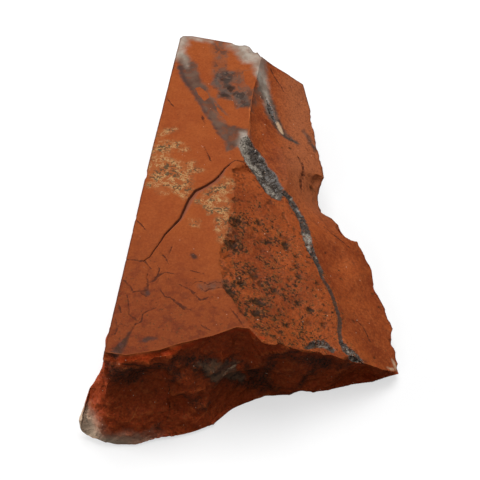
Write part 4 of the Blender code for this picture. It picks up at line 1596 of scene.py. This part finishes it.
@dataclass
class JasperMaterial:
    """Dresses the stone.

    Its node maker, its node groups, the place on the stone in millimetres and how far that lies towards the
    far right are made first, and the layers read them.
    """

    finish: JasperFinish = field(default_factory=JasperFinish)
    nodes: Nodes = field(init=False)
    groups: dict[str, bpy.types.NodeTree] = field(init=False)
    place: Socket = field(init=False)
    axes: dict[str, Socket] = field(init=False)
    toward: Socket = field(init=False)

    def build(self) -> bpy.types.Material:
        """Makes the material.

        Returns:
            The stone's material. Its layers lie over one another from the plain stone up: mottling, ochre
            threads, purple and grey bands, milky chalcedony, veins and crystals, flecks, pits, painted
            glints, cracks, a painted highlight strip, painted highlights on the crests and a painted shade
            line along the rims.
        """
        finish = self.finish
        material = bpy.data.materials.new("jasper")
        material.use_nodes = True
        nodes = Nodes(material.node_tree)
        self.nodes = nodes
        self.groups = {"ragged": ragged_group(), "flecks": fleck_group(), "threads": thread_group()}
        where = nodes.make("ShaderNodeTexCoord").outputs["Object"]
        scaled = nodes.make("ShaderNodeVectorMath", {0: where, "Scale": 1.0 / MM}, operation="SCALE")
        self.place = scaled.outputs["Vector"]
        self.axes = nodes.make("ShaderNodeSeparateXYZ", (self.place,)).outputs
        self.toward = nodes.maths("MULTIPLY_ADD", self.axes["X"], 0.6, self.axes["Y"])
        colour, milky = self._bands(self._stains(self._stone()))
        colour, glassy = self._crystals(colour)
        sawn = nodes.trait("sawn")
        rough = nodes.step(sawn, 0.0, 1.0, finish.roughness)
        rough = nodes.maths("MULTIPLY_ADD", milky, finish.milky_gloss[0], rough)
        rough = nodes.maths("MULTIPLY_ADD", glassy, finish.glassy_gloss[0], rough)
        size, share = finish.uneven_gloss
        coats = nodes.times(milky, finish.milky_gloss[1]), nodes.times(glassy, finish.glassy_gloss[1])
        inputs = {
            "Base Color": self._edges(self._flecks(colour)),
            "Roughness": nodes.maths("MULTIPLY_ADD", self._noise(size), share, rough),
            "Specular IOR Level": finish.specular,
            "Coat Weight": nodes.maths("MAXIMUM", *coats),
            "Coat Roughness": finish.coat_roughness,
            "Normal": self._bump(glassy, sawn),
        }
        shader = nodes.tree.nodes["Principled BSDF"]
        for name, source in inputs.items():
            nodes.feed(shader.inputs[name], source)
        return material

    def _noise(self, size: float, detail: float = 2.0) -> Socket:
        """Noise from 0 to 1 whose lumps have the given size in millimetres."""
        return self.nodes.scatter(self.place, 1.0 / size, detail).outputs["Fac"]

    def _clouds(self, size: float, detail: float, low: float, high: float, to: Point = (0.0, 1.0)) -> Socket:
        """Noise that rises smoothly from one number to another between two of its levels."""
        return self.nodes.step(self._noise(size, detail), low, high, to)

    def _over(self, share: Source, colour: Source, name: str) -> Socket:
        """Lays one of the finish's colours over a colour by a share."""
        return self.nodes.blend(share, colour, self.finish.colour(name))

    def _between(self, share: Source, first: str, second: str) -> Socket:
        """Mixes two of the finish's colours by a share."""
        return self._over(share, self.finish.colour(first), second)

    def _less(self, first: Source, second: Source) -> Socket:
        """Takes a mask away from another, and stops at nothing."""
        return self.nodes.maths("SUBTRACT", first, second, clamp=True)

    def _fleck(self, fineness: float, density: Source) -> Socket:
        """The mask of flecks of a fineness."""
        return self.nodes.group(self.groups["flecks"], Place=self.place, Fineness=fineness, Density=density)

    def _mask(self, trait: str, fineness: float, reach: float, softness: float) -> Socket:
        """A trait's depth as a mask with an uneven border."""
        sources = {"Place": self.place, "Depth": self.nodes.trait(trait), "Fineness": fineness}
        return self.nodes.group(self.groups["ragged"], **sources, Reach=reach, Softness=softness)

    def _stone(self) -> Socket:
        """Makes the plain stone.

        Returns:
            Its colour: deep, middle and bright tones of the sawn and the broken faces, mixed by broad and
            fine noise, with rust and a darker tone towards the near left.
        """
        nodes = self.nodes
        broad = self._clouds(9.0, 3.0, 0.35, 0.68)
        middle = self._clouds(2.2, 4.0, 0.42, 0.72)
        sawn = self._between(nodes.times(broad, 0.7), "sawn", "sawn_deep")
        sawn = self._over(nodes.times(middle, 0.35), sawn, "sawn_pale")
        sawn = self._over(nodes.step(self.toward, -8.0, -48.0, (0.0, 0.85)), sawn, "sawn_near")
        rust = self._clouds(1.7, 5.0, 0.47, 0.62, (0.0, 0.7))
        sawn = self._over(nodes.times(rust, nodes.step(self.toward, -18.0, -42.0)), sawn, "rust")
        broken = self._between(broad, "broken", "broken_deep")
        broken = self._over(nodes.times(middle, 0.40), broken, "broken_bright_and_highlight")
        right, far = nodes.step(self.axes["X"], 5.0, 11.0), nodes.step(self.axes["Y"], -6.0, 12.0)
        dusty = nodes.times(right, 0.7, far)
        broken = self._over(dusty, broken, "dusty")
        fresh = nodes.times(nodes.trait("side"), nodes.step(broad, 0.0, 1.0, (0.95, 0.65)))
        broken = self._over(fresh, broken, "fresh")
        slant = {"Vector": self.place, "Rotation": (0.0, 0.0, 0.5), "Scale": (1.0, 4.0, 1.0)}
        slanted = nodes.make("ShaderNodeMapping", slant, vector_type="TEXTURE").outputs["Vector"]
        streaks = nodes.scatter(slanted, 1.0 / 0.7, 4.0).outputs["Fac"]
        broken = self._over(nodes.step(streaks, 0.56, 0.72, (0.0, 0.5)), broken, "fleck")
        broken = self._over(nodes.step(streaks, 0.46, 0.30, (0.0, 0.3)), broken, "fleck_pale")
        colour = nodes.blend(nodes.trait("sawn"), broken, sawn)
        fine = self._noise(0.42, 3.0)
        strength = nodes.step(nodes.trait("sawn"), 0.0, 1.0, (0.42, 0.20))
        colour = self._over(nodes.times(nodes.step(fine, 0.50, 0.66), strength), colour, "fleck")
        lighter = nodes.times(nodes.step(fine, 0.50, 0.34), nodes.times(strength, 0.5))
        return self._over(lighter, colour, "fleck_pale")

    def _stains(self, colour: Socket) -> Socket:
        """Lays on the ochre moss, a painted highlight strip under the near rim, the dark clouds and the
        olive lens.

        Args:
            colour: The colour so far.

        Returns:
            The colour with them.
        """
        nodes = self.nodes
        region = self._mask("ochre", 0.6, 3.6, 0.9)
        threads = self.groups["threads"]
        wide = nodes.group(threads, Place=self.place, Fineness=0.8, Width=0.09)
        small = nodes.group(threads, Place=self.place, Fineness=1.5, Width=0.11)
        moss = nodes.times(nodes.maths("MAXIMUM", wide, small), self._clouds(1.5, 4.0, 0.42, 0.54))
        wash = nodes.maths("MULTIPLY_ADD", moss, 0.88, 0.09)
        colour = self._over(nodes.times(region, wash), colour, "ochre")
        specks = self._fleck(2.2, self._clouds(1.8, 3.0, 0.42, 0.60, (0.3, 1.0)))
        colour = self._over(nodes.times(region, specks, 0.9), colour, "ochre_deep")
        # Painted highlight: a brighter red band along the lit shoulder under the near rim.
        strip = nodes.times(self._mask("strip", 0.9, 1.0, 0.35), nodes.trait("side"))
        colour = self._over(strip, colour, "strip")
        grains = self._clouds(0.32, 4.0, 0.40, 0.62, (0.5, 1.0))
        colour = self._over(nodes.times(self._mask("dark", 0.9, 3.4, 1.0), grains), colour, "dark")
        veil = self._between(grains, "olive", "grey_deep")
        veil = nodes.blend(self._clouds(1.6, 3.0, 0.42, 0.58), self.finish.colour("olive"), veil)
        return nodes.blend(nodes.times(self._mask("olive", 0.9, 1.6, 0.4), 0.85), colour, veil)

    def _bands(self, colour: Socket) -> tuple[Socket, Socket]:
        """Lays on the purple and grey bands and the milky chalcedony.

        Args:
            colour: The colour so far.

        Returns:
            The colour with the bands, and the mask of the milky stone.
        """
        nodes = self.nodes
        clast = self._mask("clasts", 1.0, 0.7, 0.1)
        tone = self._clouds(2.6, 4.0, 0.35, 0.65)
        mottle = nodes.cells(nodes.bent(self.place, 1.2, 3.0, 1.0), 0.9).outputs["Color"]
        mottle = nodes.step(mottle, 0.25, 0.75)
        band = self._between(tone, "purple", "purple_grey")
        flow = self._less(self._mask("purple", 0.8, 1.3, 0.5), clast)
        patchy = self._clouds(1.3, 5.0, 0.36, 0.52, (0.7, 1.0))
        colour = nodes.blend(nodes.times(flow, patchy), colour, band)
        brink = nodes.times(self._mask("purple_edge", 0.8, 0.8, 0.5), flow, 0.85)
        colour = self._over(brink, colour, "purple_deep")
        loose = self._less(nodes.times(self._mask("breccia", 0.5, 2.6, 0.9), 0.92), clast)
        colour = nodes.blend(nodes.times(loose, nodes.step(mottle, 0.0, 1.0, (0.4, 0.9))), colour, band)
        grey = self._less(self._mask("grey", 0.9, 1.6, 0.6), clast)
        grey = nodes.times(grey, self._clouds(1.3, 3.0, 0.30, 0.56, (0.55, 0.95)))
        colour = nodes.blend(grey, colour, self._between(mottle, "grey", "grey_deep"))
        blot = nodes.times(self._mask("blots", 1.0, 1.2, 0.35), 0.85)
        colour = nodes.blend(blot, colour, self._between(mottle, "purple_deep", "dark"))
        milky = self._mask("white", 0.6, 1.6, 1.1)
        haze = self._clouds(1.6, 4.0, 0.25, 0.6, (0.7, 0.96))
        colour = nodes.blend(nodes.times(milky, haze), colour, self._between(tone, "white", "white_deep"))
        lobe = self._mask("milk", 0.7, 2.0, 1.9)
        colour = self._over(nodes.times(lobe, 0.92), colour, "milk")
        return colour, nodes.maths("MAXIMUM", milky, lobe)

    def _crystals(self, colour: Socket) -> tuple[Socket, Socket]:
        """Lays on the crystals of the vein and the gash, the seams and the cream lenses.

        Args:
            colour: The colour so far.

        Returns:
            The colour with them, and the mask of the crystals.
        """
        nodes = self.nodes
        vein = self._mask("vein", 1.3, 0.7, 0.16)
        glassy = nodes.maths("MAXIMUM", vein, self._mask("druse", 0.9, 0.9, 0.22))
        cell = nodes.cells(self.place, 0.40).outputs["Color"]
        spark = nodes.maths("MULTIPLY_ADD", cell, 0.5, nodes.times(nodes.trait("shade"), 0.5))
        body = self._between(nodes.step(spark, 0.1, 0.8), "crystal_deep", "crystal")
        body = self._over(nodes.step(spark, 0.66, 0.9, (0.0, 0.9)), body, "crystal_pale")
        light = self._between(nodes.step(spark, 0.05, 0.6), "crystal", "crystal_pale")
        body = nodes.blend(self._mask("pale_crystals", 1.2, 0.7, 0.3), body, light)
        colour = nodes.blend(glassy, colour, body)
        dull = self._between(nodes.step(spark, 0.3, 0.9), "crystal_deep", "grey")
        colour = nodes.blend(nodes.times(self._line("seam", 0.35), 0.9), colour, dull)
        return self._over(self._mask("cream", 1.4, 0.6, 0.25), colour, "cream"), glassy

    def _flecks(self, colour: Socket) -> Socket:
        """Lays on the flecks, the pits and painted glints, tiny spots of painted highlight.

        Args:
            colour: The colour so far.

        Returns:
            The colour with them. They crowd where the stone is pitted, round the big pits and towards the
            near left.
        """
        nodes = self.nodes
        sawn, pitted = nodes.trait("sawn"), nodes.trait("pitted")
        density = nodes.times(pitted, self._clouds(2.2, 4.0, 0.38, 0.62, (0.15, 0.75)))
        density = nodes.maths("MULTIPLY_ADD", nodes.trait("cluster"), 0.62, density)
        density = nodes.maths("ADD", density, nodes.step(pitted, 0.0, 0.6, (0.15, 0.30)))
        nearby = nodes.times(sawn, nodes.step(self.toward, -14.0, -44.0, (0.0, 0.34)))
        density = nodes.maths("ADD", density, nearby)
        both = nodes.maths("MAXIMUM", self._fleck(2.0, density), self._fleck(3.6, density))
        broken = nodes.maths("SUBTRACT", 1.0, nodes.times(sawn, 0.45))
        tint = self._between(self._clouds(0.8, 2.0, 0.42, 0.58), "fleck", "fleck_olive")
        colour = nodes.blend(nodes.times(both, broken, 0.8), colour, tint)
        core = self._fleck(2.0, nodes.maths("SUBTRACT", density, 0.18))
        colour = self._over(nodes.times(core, broken, 0.85), colour, "fleck_deep")
        colour = self._over(nodes.step(nodes.trait("pit"), 0.25, 0.75, (0.0, 0.5)), colour, "fleck_deep")
        # Painted glints: tiny spots of painted highlight, more of them on the sides.
        painted_glint = nodes.step(nodes.cells(self.place, 0.9).outputs["Distance"], 0.13, 0.09)
        level = nodes.maths("MULTIPLY_ADD", nodes.trait("side"), 0.05, self._noise(1.4))
        painted_glint = nodes.times(painted_glint, nodes.step(level, 0.60, 0.64, (0.0, 0.7)), broken)
        return self._over(painted_glint, colour, "painted_glint")

    def _edges(self, colour: Socket) -> Socket:
        """Lays on the bevel, the cracks, the fissure, the scars, painted highlights on the sharp crests
        and a painted shade line along the rims.

        Args:
            colour: The colour so far.

        Returns:
            The colour with them.
        """
        nodes = self.nodes
        colour = self._over(nodes.step(nodes.trait("bevel"), -0.05, 0.45, (0.0, 0.85)), colour, "bevel")
        cracks = nodes.times(self._line("crack", 0.26), self._clouds(0.9, 4.0, 0.38, 0.54, (0.35, 1.0)))
        colour = self._over(nodes.maths("MAXIMUM", cracks, self._line("fissure", 0.10)), colour, "crack")
        colour = self._over(nodes.times(self._line("scar", 0.12), 0.6), colour, "fleck_pale")
        rim = nodes.trait("rim")
        # Painted highlight: a brighter colour on the sharp outward crests, away from the crystals and the
        # rims.
        edge = nodes.step(nodes.trait("edge"), 0.06, 0.26, (0.0, 0.32))
        edge = nodes.times(edge, nodes.step(nodes.trait("druse"), -0.3, 0.0, (1.0, 0.0)))
        edge = nodes.times(edge, nodes.step(rim, -0.6, -0.1, (1.0, 0.0)))
        colour = self._over(edge, colour, "broken_bright_and_highlight")
        # Painted shade: a thin dark line along the rims of the top, in the crack colour.
        return self._over(nodes.step(rim, -0.05, 0.22, (0.0, 0.6)), colour, "crack")

    def _line(self, name: str, reach: float) -> Socket:
        """Draws a thin line.

        Args:
            name: The start of the names of the line's traits.
            reach: How far noise shifts its borders, in millimetres.

        Returns:
            The mask: where the signed distance is less than half the width, near the line only.
        """
        nodes = self.nodes
        size = nodes.maths("ABSOLUTE", nodes.trait(name + "_gap"))
        inside = nodes.maths("SUBTRACT", nodes.trait(name + "_half"), size)
        shift = nodes.maths("SUBTRACT", self._noise(0.5, 3.0), 0.5)
        uneven = nodes.maths("MULTIPLY_ADD", shift, 2.0 * reach, inside)
        near = nodes.step(nodes.trait(name + "_far"), 0.55, 0.35)
        return nodes.times(nodes.step(uneven, -0.05, 0.04), near)

    def _bump(self, glassy: Socket, sawn: Socket) -> Socket:
        """Makes the finest relief.

        Args:
            glassy: The mask of the crystals.
            sawn: The mask of the sawn face.

        Returns:
            The normal after three bumps: a stony grain that the sawn face shows less, shell-like chips on
            the sides, and crystal faces.
        """
        nodes = self.nodes
        grain = nodes.bump(0.00012, nodes.step(sawn, 0.0, 1.0, (0.9, 0.35)), self._noise(0.35, 4.0))
        shells = nodes.cells(nodes.bent(self.place, 0.7, 2.0, 2.0), 1.9).outputs["Distance"]
        chipped = nodes.bump(0.0006, nodes.times(nodes.trait("side"), 0.8), shells, grain)
        return nodes.bump(0.0003, glassy, nodes.cells(self.place, 0.42).outputs["Distance"], chipped)


@dataclass
class Stone:
    """The lump of jasper."""

    name: str = "jasper_lump"
    middle: Point = (0.368, 0.012)
    material: JasperMaterial = field(default_factory=JasperMaterial)

    def shift(self) -> Place:
        """Works out how far the drawn stone moves so that it lies where the solid does.

        Returns:
            Millimetres along each axis.
        """
        low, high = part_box(NODE)
        centre = (low + high) / (2.0 * MM)
        return centre.x - self.middle[0], centre.y - self.middle[1], 0.0

    def build(self) -> bpy.types.Object:
        """Makes the stone, dressed, in the solid's place.

        Returns:
            The stone.
        """
        skin = Skin()
        mesh = skin.to_mesh(self.name, self.shift())
        mesh.materials.append(self.material.build())
        stone = bpy.data.objects.new(self.name, mesh)
        bpy.context.collection.objects.link(stone)
        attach(stone, "root")
        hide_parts(NODE)
        LOG.info("%s: %d faces", self.name, len(mesh.polygons))
        return stone


def turned(way: Vector) -> Euler:
    """The turn that makes a lamp or a camera look along a way."""
    return way.to_track_quat("-Z", "Y").to_euler()


@dataclass(frozen=True)
class Lamp:
    """A soft square lamp."""

    name: str
    place: Place
    size: float
    power: float
    colour: Colour = (1.0, 1.0, 1.0)
    aim: Place = (0.0, 0.0, 0.01)

    def build(self) -> bpy.types.Object:
        """Makes the lamp, turned to the stone.

        Returns:
            The lamp.
        """
        light = bpy.data.lights.new(self.name, "AREA")
        light.shape = "SQUARE"
        light.size = self.size
        light.energy = self.power
        light.color = self.colour
        lamp = bpy.data.objects.new(self.name, light)
        lamp.location = self.place
        lamp.rotation_euler = turned(Vector(self.aim) - Vector(self.place))
        bpy.context.collection.objects.link(lamp)
        return lamp


@dataclass
class Studio:
    """The floor, the lamps and the camera."""

    floor_size: float = 4.0
    floor_shade: float = 0.34
    floor_glow: float = 0.60
    floor_bounce: float = 0.16
    floor_roughness: float = 0.9
    sky: float = 0.15
    lamps: tuple[Lamp, ...] = (
        Lamp("lamp_over", (0.04, 0.22, 0.68), 0.50, 5.6),
        Lamp("lamp_left", (-0.60, 0.06, 0.18), 0.30, 3.8),
        Lamp("lamp_right", (0.60, 0.05, 0.45), 0.30, 0.8),
        Lamp("lamp_front", (-0.30, -0.48, 0.52), 0.20, 0.62),
    )
    lens: float = 100.0
    sensor: float = 36.0
    distance: float = 0.2565
    elevation: float = 48.0
    target: Place = (-0.45, -3.825, 8.1)

    def floor(self) -> bpy.types.Object:
        """Makes the floor, which throws less light back at the stone than it shows.

        Returns:
            The floor.
        """
        half = self.floor_size / 2
        corners = [(-half, -half, 0.0), (half, -half, 0.0), (half, half, 0.0), (-half, half, 0.0)]
        mesh = bpy.data.meshes.new("floor")
        mesh.from_pydata(corners, [], [(0, 1, 2, 3)])
        material = bpy.data.materials.new("floor")
        material.use_nodes = True
        nodes = Nodes(material.node_tree)
        seen = nodes.make("ShaderNodeLightPath").outputs["Is Camera Ray"]
        inputs = {
            "Base Color": nodes.blend(seen, (self.floor_bounce,) * 3, (self.floor_shade,) * 3),
            "Emission Color": nodes.blend(seen, (0.0,) * 3, (self.floor_glow,) * 3),
            "Emission Strength": 1.0,
            "Roughness": self.floor_roughness,
            "Specular IOR Level": 0.0,
        }
        for name, source in inputs.items():
            nodes.feed(nodes.tree.nodes["Principled BSDF"].inputs[name], source)
        mesh.materials.append(material)
        floor = bpy.data.objects.new("floor", mesh)
        bpy.context.collection.objects.link(floor)
        return floor

    def air(self) -> None:
        """Sets the light that comes from everywhere, white where it is seen."""
        world = bpy.data.worlds.new("studio")
        world.use_nodes = True
        nodes = Nodes(world.node_tree)
        seen = nodes.make("ShaderNodeLightPath").outputs["Is Camera Ray"]
        shade = nodes.blend(seen, (self.sky,) * 3, (1.0, 1.0, 1.0))
        nodes.feed(nodes.tree.nodes["Background"].inputs["Color"], shade)
        bpy.context.scene.world = world

    def camera(self, shift: Place) -> bpy.types.Object:
        """Makes the camera.

        Args:
            shift: How far the stone was moved, in millimetres, so that the camera moves with it.

        Returns:
            The camera, near side on, above the floor's level by its elevation, aimed at the target.
        """
        data = bpy.data.cameras.new("camera")
        data.lens = self.lens
        data.sensor_width = self.sensor
        data.clip_start = 0.01
        data.dof.use_dof = False
        camera = bpy.data.objects.new("camera", data)
        aim = (Vector(self.target) + Vector(shift)) * MM
        rise = math.radians(self.elevation)
        camera.location = aim + self.distance * Vector((0.0, -math.cos(rise), math.sin(rise)))
        camera.rotation_euler = turned(aim - camera.location)
        bpy.context.collection.objects.link(camera)
        bpy.context.scene.camera = camera
        return camera

    def build(self, shift: Place) -> None:
        """Makes everything round the stone.

        Args:
            shift: How far the stone was moved, in millimetres.
        """
        self.floor()
        self.air()
        for lamp in self.lamps:
            lamp.build()
        self.camera(shift)
        bpy.context.scene.view_settings.view_transform = "Standard"
        LOG.info("studio: %d lamps", len(self.lamps))


def main() -> None:
    """Builds the scene."""
    logging.basicConfig(level=logging.INFO, format="%(name)s %(message)s")
    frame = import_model()
    LOG.info("frame: %d nodes", len(frame["nodes"]))
    stone = Stone()
    stone.build()
    Studio().build(stone.shift())


if __name__ == "__main__":
    main()
